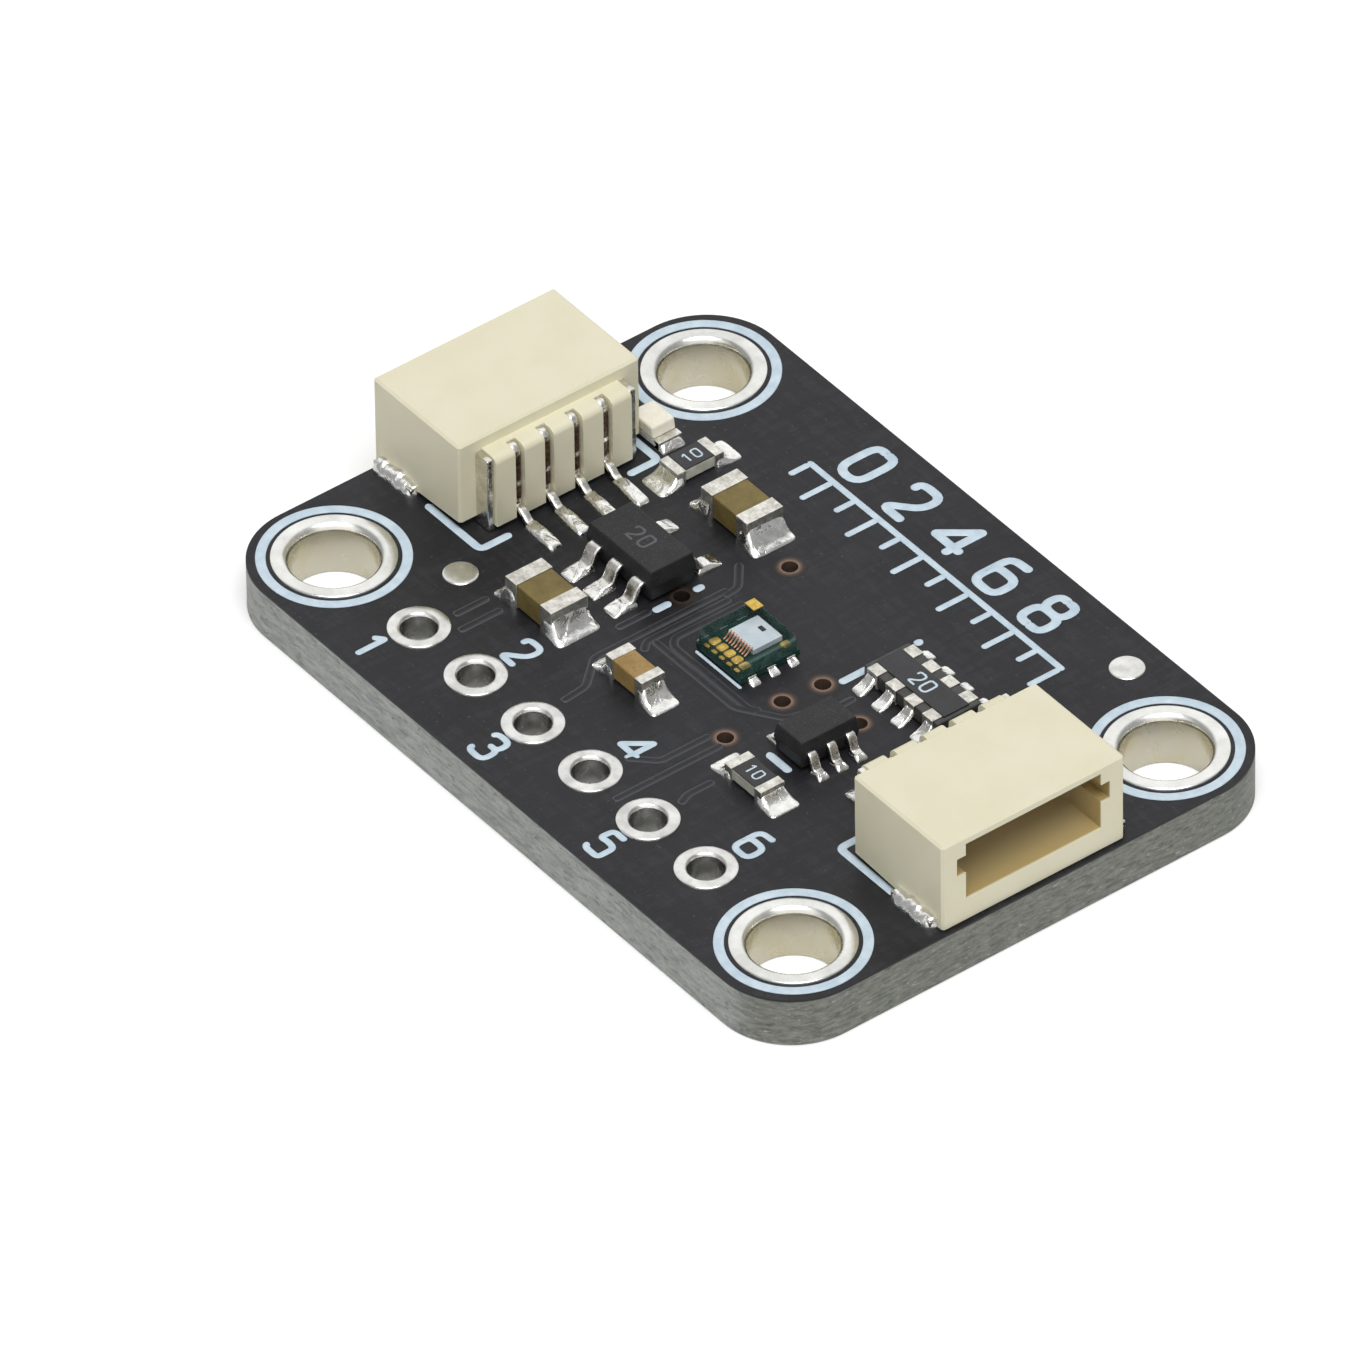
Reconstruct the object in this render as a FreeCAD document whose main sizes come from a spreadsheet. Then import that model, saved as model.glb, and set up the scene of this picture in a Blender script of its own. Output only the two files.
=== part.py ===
import FreeCAD, Part
import os
import re
import Sketcher
from FreeCAD import Placement, Rotation, Vector

# A light sensor module: a small circuit board with plated mounting and header
# holes, a clear light sensor in the middle, a four-way cable socket at each
# end, and the chips between them. Lengths are in millimetres. The origin is at
# the middle of the four mounting holes on the underside of the board, with +X
# along the board, +Y away from the row of header holes, and +Z up.

SIZES = {
    # Board
    "board_thickness": 1.6,
    "board_corner_radius": 2.3,
    # Mounting holes and their plating
    "mount_spacing_long": 20.32,
    "mount_spacing_short": 12.7,
    "mount_edge_long": 2.34,
    "mount_edge_short": 2.4,
    "mount_bore_radius": 1.25,
    "mount_pad_radius": 1.756,
    # Row of six header holes
    "header_pitch": 2.54,
    "header_bore_radius": 0.5,
    "header_pad_radius": 0.886,
    # Small plated holes that join the two sides of the board
    "via_bore_radius": 0.23,
    "via_pad_radius": 0.36,
    # Plating of all the holes
    "barrel_wall": 0.1,
    "pad_dome": 0.08,
    "pad_bevel": 0.05,
    "via_dome": 0.01,
    # Bare round marks for the placing machine
    "fiducial_radius": 0.5,
    # White print
    "ink_thickness": 0.03,
    "ring_inner_radius": 1.86,
    "ring_outer_radius": 2.15,
    "ink_stroke": 0.25,
    "ink_margin": 0.16,
    "ink_clearance": 0.03,
    "bar_reach": 1.0,
    "bracket_gap": 0.2,
    "bracket_y": 3.05,
    "bracket_long_leg": 2.55,
    "bracket_short_leg": 1.05,
    # Tinned lands
    "land_thickness": 0.04,
    # Four-way sockets
    "contact_pitch": 1.0,
    "socket_y": 0.08,
    "left_overhang": 0.22,
    "right_overhang": -0.14,
    "socket_length": 6.2,
    "socket_top": 2.95,
    "socket_depth": 4.5,
    "shell_front_standoff": 0.05,
    "shell_back_standoff": 0.28,
    "rib_standoff": 0.17,
    "rib_depth": 0.65,
    "rib_half_length": 2.32,
    "rib_top": 2.55,
    "rib_round": 0.22,
    "shell_bevel": 0.07,
    "slot_width": 0.31,
    "slot_depth": 0.45,
    "cavity_depth": 3.1,
    "cavity_half_length": 2.3,
    "cavity_bottom": 0.79,
    "cavity_top": 2.7,
    "keyway_half_length": 2.6,
    "keyway_bottom": 1.7,
    "keyway_top": 2.3,
    # Contacts of the sockets
    "contact_width": 0.25,
    "contact_strip": 0.15,
    "contact_back": 0.12,
    "contact_spine": 0.18,
    "contact_top": 2.5,
    "contact_arm": 0.9,
    "pin_length": 3.3,
    "pin_bottom": 1.45,
    "pin_height": 0.3,
    "pin_point": 0.08,
    "tail_exit": 0.33,
    "tail_reach": 0.9,
    "tail_slope": 0.3,
    "contact_land_reach": 1.6,
    "contact_land_start": 0.3,
    "contact_land_width": 0.46,
    "contact_solder_height": 0.24,
    # Hold-down plates of the sockets
    "plate_thickness": 0.22,
    "plate_back": 0.1,
    "plate_front": 1.15,
    "plate_top": 2.5,
    "sole_thickness": 0.13,
    "foot_start": 2.55,
    "foot_front": 0.25,
    "foot_reach": 3.35,
    "foot_bite": 0.3,
    "foot_height": 0.28,
    "foot_solder_reach": 3.5,
    "foot_solder_height": 0.34,
    # Five-lead regulator
    "regulator_inset": 3.45,
    "regulator_y": -0.13,
    "regulator_length": 2.9,
    "regulator_width": 1.6,
    "regulator_height": 1.1,
    "regulator_standoff": 0.1,
    "regulator_taper": 0.08,
    "regulator_pitch": 0.95,
    "regulator_lead_width": 0.4,
    "regulator_lead_strip": 0.13,
    "regulator_lead_exit": 0.55,
    "regulator_lead_root": 0.16,
    "regulator_lead_reach": 1.5,
    "regulator_foot": 0.36,
    "regulator_land_start": 1.0,
    "regulator_land_reach": 1.87,
    "regulator_land_width": 0.6,
    "regulator_solder_height": 0.22,
    # Six-lead level shifter
    "shifter_inset": 3.7,
    "shifter_y": -1.0,
    "shifter_length": 2.0,
    "shifter_width": 1.25,
    "shifter_height": 0.98,
    "shifter_standoff": 0.08,
    "shifter_taper": 0.07,
    "shifter_pitch": 0.65,
    "shifter_lead_width": 0.25,
    "shifter_lead_strip": 0.12,
    "shifter_lead_exit": 0.48,
    "shifter_lead_root": 0.14,
    "shifter_lead_reach": 1.06,
    "shifter_foot": 0.24,
    "shifter_land_start": 0.72,
    "shifter_land_reach": 1.22,
    "shifter_land_width": 0.38,
    "shifter_solder_height": 0.18,
    # Chips with a terminal at each end
    "cap_wall": 0.03,
    "solder_inset": 0.05,
    "input_capacitor_inset": 3.56,
    "input_capacitor_y": 3.25,
    "output_capacitor_inset": 3.23,
    "output_capacitor_y": -3.2,
    "power_capacitor_length": 2.05,
    "power_capacitor_width": 1.25,
    "power_capacitor_height": 0.84,
    "power_capacitor_band": 0.5,
    "power_capacitor_land_reach": 1.53,
    "power_capacitor_land_width": 1.5,
    "sensor_capacitor_x": -0.83,
    "sensor_capacitor_y": -3.2,
    "sensor_capacitor_length": 1.6,
    "sensor_capacitor_width": 0.8,
    "sensor_capacitor_height": 0.72,
    "sensor_capacitor_band": 0.32,
    "sensor_capacitor_land_reach": 1.42,
    "sensor_capacitor_land_width": 0.98,
    "interrupt_resistor_inset": 3.52,
    "interrupt_resistor_y": -3.25,
    "lamp_resistor_inset": 0.96,
    "lamp_resistor_y": 3.52,
    "resistor_length": 1.6,
    "resistor_width": 0.82,
    "resistor_height": 0.44,
    "resistor_band": 0.3,
    "resistor_land_reach": 1.42,
    "resistor_land_width": 1.0,
    "coat_thickness": 0.04,
    "chip_solder_share": 0.8,
    "chip_solder_toe": 0.12,
    # Four resistors in one block
    "array_inset": 3.56,
    "array_y": 2.52,
    "array_length": 3.2,
    "array_width": 1.6,
    "array_height": 0.5,
    "array_pitch": 0.8,
    "array_band": 0.36,
    "array_terminal_width": 0.45,
    "array_notch": 0.12,
    "array_land_reach": 1.33,
    "array_land_start": 0.5,
    "array_land_width": 0.46,
    "array_land_pitch": 0.84,
    # Power lamp
    "lamp_inset": -0.95,
    "lamp_y": 3.65,
    "lamp_length": 1.6,
    "lamp_width": 0.8,
    "lamp_base_height": 0.26,
    "lamp_height": 0.62,
    "lamp_lens_length": 1.1,
    "lamp_lens_taper": 0.07,
    "lamp_band": 0.25,
    "lamp_land_reach": 1.02,
    "lamp_land_width": 0.8,
    # Light sensor
    "sensor_side": 2.0,
    "sensor_height": 0.7,
    "sensor_board_thickness": 0.2,
    "sensor_terminal_pitch": 0.66,
    "sensor_terminal_width": 0.3,
    "sensor_terminal_height": 0.16,
    "sensor_terminal_out": 0.07,
    "sensor_land_start": 0.6,
    "sensor_land_reach": 1.28,
    "sensor_land_width": 0.34,
    "die_x": -0.13,
    "die_y": 0.36,
    "die_length": 1.1,
    "die_width": 1.0,
    "die_thickness": 0.18,
    "bond_pad_y": -0.62,
    "bond_pad_pitch": 0.33,
    "bond_pad_length": 0.22,
    "bond_pad_width": 0.26,
    "bond_pad_thickness": 0.03,
    "side_pad_x": 0.63,
    "side_pad_y": 0.8,
    "index_pad_length": 0.42,
    "index_pad_width": 0.34,
}

# Sizes and places that follow from those in the table
DERIVED = {
    "board_length": "mount_spacing_long + 2 * mount_edge_long",
    "board_width": "mount_spacing_short + 2 * mount_edge_short",
    "header_y": "-mount_spacing_short / 2",
    "left_socket_front": "board_length / 2 + left_overhang",
    "right_socket_front": "board_length / 2 + right_overhang",
    "socket_back": "board_length / 2 - socket_depth",
    "bracket_x": "socket_back - bracket_gap",
    "lamp_x": "lamp_inset - socket_back",
    "lamp_resistor_x": "lamp_resistor_inset - socket_back",
    "regulator_x": "regulator_inset - socket_back",
    "input_capacitor_x": "input_capacitor_inset - socket_back",
    "output_capacitor_x": "output_capacitor_inset - socket_back",
    "array_x": "socket_back - array_inset",
    "shifter_x": "socket_back - shifter_inset",
    "interrupt_resistor_x": "socket_back - interrupt_resistor_inset",
}

# Plated through-joins, each by the chip that it serves and its place from that chip's middle
VIA_PLACES = [
    ("input_capacitor", 2.33, -0.18),
    ("array", -2.12, -1.77),
    ("shifter", -2.10, 0.46),
    ("interrupt_resistor", -2.05, 0.59),
    ("shifter", -0.09, 1.52),
    ("regulator", 1.59, 0.15),
]
# The through-joins that lie in line with a bar of print
REGULATOR_VIA = 5
ARRAY_VIA = 1
# Round bare marks, each near the back of a socket
FIDUCIAL_PLACES = [
    ("0.53 - socket_back", "-4.08"),
    ("socket_back - 1.11", "board_width / 2 - 1.14"),
]

# Flat sides of the round pads and rings, fewer on the small ones
PAD_SIDES = 24
SMALL_PAD_SIDES = 16
VIA_SIDES = 12

# How many of each there are
HEADER_HOLES = 6
SOCKET_CONTACTS = 4
ARRAY_RESISTORS = 4
SIDE_TERMINALS = 3
BOND_PADS = 5

doc = FreeCAD.newDocument("light_sensor_module")
sheet = doc.addObject("Spreadsheet::Sheet", "sizes")
for row, (alias, number) in enumerate(SIZES.items(), start=1):
    sheet.set(f"A{row}", alias)
    sheet.set(f"B{row}", str(number))
    sheet.setAlias(f"B{row}", alias)
doc.recompute()

nodes = {}


# Formulas: each is text in the sheet's own words, such as "board_length / 2"

def tie(formula):
    """The same formula with each size looked up in the sheet."""

    def looked_up(match):
        word = match.group()
        if word in DERIVED:
            return "(" + tie(DERIVED[word]) + ")"
        return "sizes." + word if word in SIZES else word

    return re.sub(r"[a-z_]+", looked_up, formula)


def value(formula):
    """The number that a formula gives now."""
    return float(sheet.evalExpression(tie(formula)))


def bind(item, prop, formula):
    """Keep one property of an object equal to a formula."""
    item.setExpression(prop, tie(formula))


def place(item, x, y, z, turn=0):
    """Put an object at a point, turned by so many degrees about +Z."""
    item.Placement = Placement(Vector(), Rotation(Vector(0, 0, 1), turn))
    bind(item, "Placement.Base.x", x)
    bind(item, "Placement.Base.y", y)
    bind(item, "Placement.Base.z", z)
    return item


def node(name, item):
    """Name an object as one sub-part of the module."""
    item.Label = name
    nodes[name] = item
    return item


# Solids made from primitives

def block(name, length, width, height, x="0", y="0", z="0"):
    """A box centred on x and y that stands on z."""
    box = doc.addObject("Part::Box", name)
    bind(box, "Length", length)
    bind(box, "Width", width)
    bind(box, "Height", height)
    return place(box, f"({x}) - ({length}) / 2", f"({y}) - ({width}) / 2", z)


def prism(name, sides, radius, height, x="0", y="0", z="0"):
    """An upright prism with so many sides that stands on z. Its corners are at the radius."""
    disc = doc.addObject("Part::Prism", name)
    disc.Polygon = sides
    bind(disc, "Circumradius", radius)
    bind(disc, "Height", height)
    return place(disc, x, y, z)


def bored(name, base, radius, height, z="0"):
    """The base with a round hole about the origin."""
    bore = doc.addObject("Part::Cylinder", name + "_bore")
    bind(bore, "Radius", radius)
    bind(bore, "Height", height)
    return cut(name, base, place(bore, "0", "0", z))


def mound(name, bottom, top, height):
    """A frustum between two rectangles, each given as x from, x to, y from, y to."""
    wedge = doc.addObject("Part::Wedge", name)
    bind(wedge, "Xmin", bottom[0])
    bind(wedge, "Xmax", bottom[1])
    bind(wedge, "Zmin", f"-({bottom[3]})")
    bind(wedge, "Zmax", f"-({bottom[2]})")
    bind(wedge, "X2min", top[0])
    bind(wedge, "X2max", top[1])
    bind(wedge, "Z2min", f"-({top[3]})")
    bind(wedge, "Z2max", f"-({top[2]})")
    wedge.Ymin = 0
    bind(wedge, "Ymax", height)
    wedge.Placement = Placement(Vector(), Rotation(Vector(1, 0, 0), 90))
    return wedge


def cut(name, base, tool):
    """The base with the tool's solid taken away."""
    result = doc.addObject("Part::Cut", name)
    result.Base = base
    result.Tool = tool
    return result


def group(name, items):
    """Separate solids kept together as one object."""
    result = doc.addObject("Part::Compound", name)
    result.Links = items
    return result


def copy_at(name, source, x, y, z="0", turn=0):
    """A linked copy of an object at another place."""
    link = doc.addObject("App::Link", name)
    link.LinkedObject = source
    return place(link, x, y, z, turn)


def fused(name, items):
    """One solid from pieces that pass through each other."""
    result = doc.addObject("Part::MultiFuse", name)
    result.Shapes = items
    return result


def bevelled_top(name, base, leg):
    """The base with the edges of its top face cut at 45 degrees."""
    doc.recompute()
    top = base.Shape.BoundBox.ZMax
    size = value(leg)
    result = doc.addObject("Part::Chamfer", name)
    result.Base = base
    result.Edges = [
        (index, size, size)
        for index, edge in enumerate(base.Shape.Edges, start=1)
        if near(edge.BoundBox.ZMin, top)
    ]
    return result


# Solids made from sketches

def new_body(name):
    return doc.addObject("PartDesign::Body", name)


def new_sketch(body, name, plane, offset="0"):
    """An empty sketch on one of the body's own planes, moved along its normal."""
    sketch = body.newObject("Sketcher::SketchObject", name)
    support = next(item for item in body.Origin.OriginFeatures if item.Role == plane)
    sketch.AttachmentSupport = [(support, "")]
    sketch.MapMode = "FlatFace"
    bind(sketch, "AttachmentOffset.Base.z", offset)
    return sketch


def fix_point(sketch, geometry, point, x, y):
    """Hold one point of a sketch at x and y from the origin."""
    for kind, formula in (("DistanceX", x), ("DistanceY", y)):
        distance = Sketcher.Constraint(kind, -1, 1, geometry, point, value(formula))
        index = sketch.addConstraint(distance)
        sketch.setExpression(f"Constraints[{index}]", tie(formula))


def outline(body, name, plane, corners, offset="0"):
    """A closed outline of straight lines through corners given as pairs of formulas."""
    sketch = new_sketch(body, name, plane, offset)
    points = [Vector(value(x), value(y), 0) for x, y in corners]
    for index, start in enumerate(points):
        sketch.addGeometry(Part.LineSegment(start, points[(index + 1) % len(points)]))
    for index in range(len(points)):
        following = (index + 1) % len(points)
        sketch.addConstraint(Sketcher.Constraint("Coincident", index, 2, following, 1))
    for index, (x, y) in enumerate(corners):
        fix_point(sketch, index, 1, x, y)
    return sketch


def rectangle(body, name, plane, x_from, x_to, y_from, y_to, offset="0"):
    corners = [(x_from, y_from), (x_to, y_from), (x_to, y_to), (x_from, y_to)]
    return outline(body, name, plane, corners, offset)


def pad(body, sketch, length, both_ways=False):
    feature = body.newObject("PartDesign::Pad", sketch.Name + "_pad")
    feature.Profile = sketch
    bind(feature, "Length", length)
    feature.Midplane = both_ways
    body.Tip = feature
    return feature


def pocket(body, sketch, length, reversed_way=False):
    """Cut a sketch out of the body, and make sure that it took something away."""
    doc.recompute()
    before = body.Shape.Volume
    feature = body.newObject("PartDesign::Pocket", sketch.Name + "_pocket")
    feature.Profile = sketch
    bind(feature, "Length", length)
    feature.Reversed = reversed_way
    body.Tip = feature
    doc.recompute()
    if body.Shape.Volume >= before:
        raise ValueError(feature.Name + " cuts nothing")
    return feature


def worked_edges(body, name, kind, prop, size, chosen):
    """Work the edges of the body that pass a test, as a fillet or a chamfer."""
    doc.recompute()
    base = body.Tip
    edges = []
    for index, edge in enumerate(base.Shape.Edges, start=1):
        if chosen(edge):
            edges.append(f"Edge{index}")
    feature = body.newObject(kind, name)
    feature.Base = (base, edges)
    bind(feature, prop, size)
    body.Tip = feature
    return feature


def rounded(body, name, radius, chosen):
    return worked_edges(body, name, "PartDesign::Fillet", "Radius", radius, chosen)


def chamfered(body, name, leg, chosen):
    return worked_edges(body, name, "PartDesign::Chamfer", "Size", leg, chosen)


def runs_along(edge, axis):
    """True for a straight edge that is parallel to an axis."""
    if len(edge.Vertexes) < 2:
        return False
    span = edge.lastVertex().Point - edge.firstVertex().Point
    straight = near(span.Length, edge.Length)
    return straight and near(abs(span.dot(axis)), edge.Length)


def near(first, second):
    return abs(first - second) < 1e-4


# The board

def signs():
    """The four quarters of the board."""
    return [(across, along) for across in (-1, 1) for along in (-1, 1)]


def mount_places():
    half_x, half_y = "mount_spacing_long / 2", "mount_spacing_short / 2"
    return [(f"{across} * {half_x}", f"{along} * {half_y}") for across, along in signs()]


def steps(count):
    """Places of so many things in an even row, in pitches from its middle."""
    return [index - (count - 1) / 2 for index in range(count)]


def header_places():
    return [(f"{step} * header_pitch", "header_y") for step in steps(HEADER_HOLES)]


def via_places():
    return [(f"{chip}_x + {across}", f"{chip}_y + {along}") for chip, across, along in VIA_PLACES]


def mount_hole():
    return "mount_bore_radius + barrel_wall"


def header_hole():
    return "header_bore_radius + barrel_wall"


def make_board():
    """Rounded plate with a hole for each barrel and each plated through-join."""
    body = new_body("board")
    half_x, half_y = "board_length / 2", "board_width / 2"
    plan = rectangle(body, "board_plan", "XY_Plane", f"-{half_x}", half_x, f"-{half_y}", half_y)
    pad(body, plan, "board_thickness")
    up = Vector(0, 0, 1)
    rounded(body, "board_corners", "board_corner_radius", lambda edge: runs_along(edge, up))
    holes = []
    for name, places, sides, radius in (
        ("mount_hole", mount_places(), PAD_SIDES, mount_hole()),
        ("header_hole", header_places(), SMALL_PAD_SIDES, header_hole()),
        ("via_hole", via_places(), VIA_SIDES, "via_pad_radius"),
    ):
        hole = prism(name, sides, radius, "board_thickness")
        for index, (x, y) in enumerate(places, start=1):
            holes.append(copy_at(f"{name}_{index}", hole, x, y))
    node("circuit_board", cut("board_drilled", body, group("board_holes", holes)))


def make_plating(name, places, sides, bore, land, barrel):
    """Plated barrels through the board, each with a domed pad on top."""
    top = "board_thickness + pad_dome"
    wall = prism(name + "_barrel", sides, barrel, "board_thickness + pad_dome / 2")
    disc = prism(name + "_disc", sides, land, "pad_dome", z="board_thickness")
    dome = bevelled_top(name + "_dome", disc, "pad_bevel")
    eyelet = bored(name + "_eyelet", fused(name + "_blank", [wall, dome]), bore, top)
    copies = []
    for index, (x, y) in enumerate(places, start=1):
        copies.append(copy_at(f"{name}_{index}", eyelet, x, y))
    node(name, group(name, copies))


def make_vias():
    """Small plated holes that join the copper of the two sides."""
    wall = prism("via_wall", VIA_SIDES, "via_pad_radius", "board_thickness + via_dome")
    drill = prism("via_drill", VIA_SIDES, "via_bore_radius", "board_thickness + via_dome")
    via = cut("via", wall, drill)
    copies = []
    for index, (x, y) in enumerate(via_places(), start=1):
        copies.append(copy_at(f"via_{index}", via, x, y))
    node("via_plating", group("via_plating", copies))


def make_fiducials():
    """Bare round pads that the placing machine looks for."""
    pads = []
    for index, (x, y) in enumerate(FIDUCIAL_PLACES, start=1):
        pads.append(prism(f"fiducial_{index}", SMALL_PAD_SIDES, "fiducial_radius",
                          "land_thickness", x, y, "board_thickness"))
    node("fiducial_pads", group("fiducial_pads", pads))


# White print on the board: the shapes, without words

def make_rings():
    """A ring of print round each mounting hole."""
    disc = prism("ink_disc", PAD_SIDES, "ring_outer_radius", "ink_thickness")
    middle = prism("ink_middle", PAD_SIDES, "ring_inner_radius", "ink_thickness")
    ring = cut("ink_ring", disc, middle)
    rings = []
    for index, (x, y) in enumerate(mount_places(), start=1):
        rings.append(copy_at(f"ink_ring_{index}", ring, x, y, "board_thickness"))
    node("printed_rings", group("printed_rings", rings))


def make_brackets():
    """An L of print behind each corner of the two sockets."""
    corners = []
    for index, (across, along) in enumerate(signs(), start=1):
        body = new_body(f"bracket_{index}")
        x_out, x_in = f"{across} * bracket_x", f"{across} * (bracket_x + ink_stroke)"
        y_out = f"{along} * (bracket_y + ink_stroke / 2)"
        y_in = f"{along} * (bracket_y - ink_stroke / 2)"
        x_end = f"{across} * (bracket_x + bracket_long_leg)"
        y_end = f"{along} * (bracket_y - bracket_short_leg)"
        shape = [
            (x_out, y_out),
            (x_end, y_out),
            (x_end, y_in),
            (x_in, y_in),
            (x_in, y_end),
            (x_out, y_end),
        ]
        plan = outline(body, f"bracket_{index}_plan", "XY_Plane", shape, "board_thickness")
        pad(body, plan, "ink_thickness")
        corners.append(body)
    node("printed_brackets", group("printed_brackets", corners))


def bar_between(name, x, y_from, y_to):
    """An upright bar of print between two places along Y."""
    return block(name, "ink_stroke", f"({y_to}) - ({y_from})", "ink_thickness", x,
                 f"(({y_from}) + ({y_to})) / 2", "board_thickness")


def make_bars():
    """Bars of print at the ends of the regulator, the resistor array and the level shifter."""
    clear = "via_pad_radius + ink_clearance"
    short_reach = "bar_reach - ink_stroke"
    stub = "(ink_stroke + ink_clearance)"
    between, above = via_places()[REGULATOR_VIA][1], via_places()[ARRAY_VIA][1]
    regulator_end = "regulator_x + regulator_length / 2 + ink_margin"
    array_end = "array_x - array_length / 2 - ink_margin - ink_stroke / 2"
    shifter_end = "shifter_y - shifter_length / 2 - ink_margin"
    bars = [
        bar_between("bar_regulator_far", regulator_end, f"{between} + {clear}",
                    f"{between} + {short_reach}"),
        bar_between("bar_regulator_near", regulator_end, f"{between} - bar_reach",
                    f"{between} - ({clear})"),
        bar_between("bar_array_near", array_end, f"{above} + {clear}", f"array_y - {stub}"),
        bar_between("bar_array_far", array_end, f"array_y + array_land_reach - {stub} / 2",
                    f"array_y + array_land_reach + {stub} / 2"),
        block("bar_shifter", "bar_reach", "ink_stroke", "ink_thickness",
              "shifter_x - ink_margin", shifter_end, "board_thickness"),
    ]
    node("printed_bars", group("printed_bars", bars))


# Four-way sockets. Each is drawn with x = 0 at the back of its ribs, +X towards
# the opening and z = 0 on the board, then turned and put in its place.

def contact_offset(number):
    """Distance of a contact from the middle of its socket."""
    return f"{steps(SOCKET_CONTACTS)[number - 1]} * contact_pitch"


def socket_place(item, side, turn):
    """Put a piece that was drawn in the socket's own frame at the left or right socket."""
    front = f"{side}_socket_front"
    x = f"{front} - socket_depth" if turn == 0 else f"socket_depth - {front}"
    return place(item, x, "socket_y", "board_thickness", turn)


def make_contact(side, number, turn):
    """One contact cut from strip: tail on its land, upright in the slot, pin in the socket."""
    body = new_body(f"{side}_contact_{number}_body")
    inner = "contact_back + contact_spine"
    profile = [
        ("-tail_reach", "land_thickness"),
        ("-tail_reach", "land_thickness + contact_strip"),
        ("-tail_slope", "land_thickness + contact_strip"),
        ("0", "tail_exit + contact_strip"),
        ("contact_back", "tail_exit + contact_strip"),
        ("contact_back", "contact_top - contact_spine / 2"),
        ("contact_back + contact_spine / 2", "contact_top"),
        ("contact_arm", "contact_top"),
        ("contact_arm", "contact_top - contact_spine"),
        (inner, "contact_top - contact_spine"),
        (inner, "pin_bottom + pin_height"),
        ("pin_length - pin_point", "pin_bottom + pin_height"),
        ("pin_length", "pin_bottom + pin_height - pin_point"),
        ("pin_length", "pin_bottom + pin_point"),
        ("pin_length - pin_point", "pin_bottom"),
        (inner, "pin_bottom"),
        (inner, "tail_exit"),
        ("contact_strip / 2", "tail_exit"),
        ("contact_strip / 2 - tail_slope", "land_thickness"),
    ]
    section = outline(body, f"{side}_contact_{number}_profile", "XZ_Plane", profile,
                      f"-({contact_offset(number)})")
    pad(body, section, "contact_width", both_ways=True)
    socket_place(body, side, turn)
    return node(f"{side}_socket_contact_{number}", body)


def side_name(end):
    """The near side is towards the header holes, the far side away from them."""
    return "near" if end < 0 else "far"


def in_order(*places):
    """Formulas sorted by what they give now."""
    return sorted(places, key=value)


def make_hold_down(side, end, turn):
    """Plate at one end of the ribs, with a sole and a foot that is soldered to the board."""
    name = f"{side}_plate_{side_name(end)}"
    body = new_body(name + "_body")
    inner, outer = "rib_half_length", "rib_half_length + plate_thickness"
    wall = in_order(f"{end} * ({inner})", f"{end} * ({outer})")
    upright = rectangle(body, name + "_plan", "XY_Plane", "plate_back", "plate_front", *wall,
                        "land_thickness")
    pad(body, upright, "plate_top - land_thickness")
    sole_front = "socket_depth - foot_front"
    corners = [
        ("plate_back", inner),
        (sole_front, inner),
        (sole_front, "foot_reach"),
        ("foot_start", "foot_reach"),
        ("foot_start", outer),
        ("plate_back", outer),
    ]
    corners = [(x, f"{end} * ({y})") for x, y in corners]
    sole = outline(body, name + "_sole", "XY_Plane", corners, "land_thickness")
    pad(body, sole, "sole_thickness")
    bite = in_order(f"{end} * (socket_length / 2 - foot_bite)", f"{end} * foot_reach")
    foot = rectangle(body, name + "_foot", "XY_Plane", "foot_start", sole_front, *bite,
                     "land_thickness")
    pad(body, foot, "foot_height")
    socket_place(body, side, turn)
    return node(f"{side}_socket_plate_{side_name(end)}", body)


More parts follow.
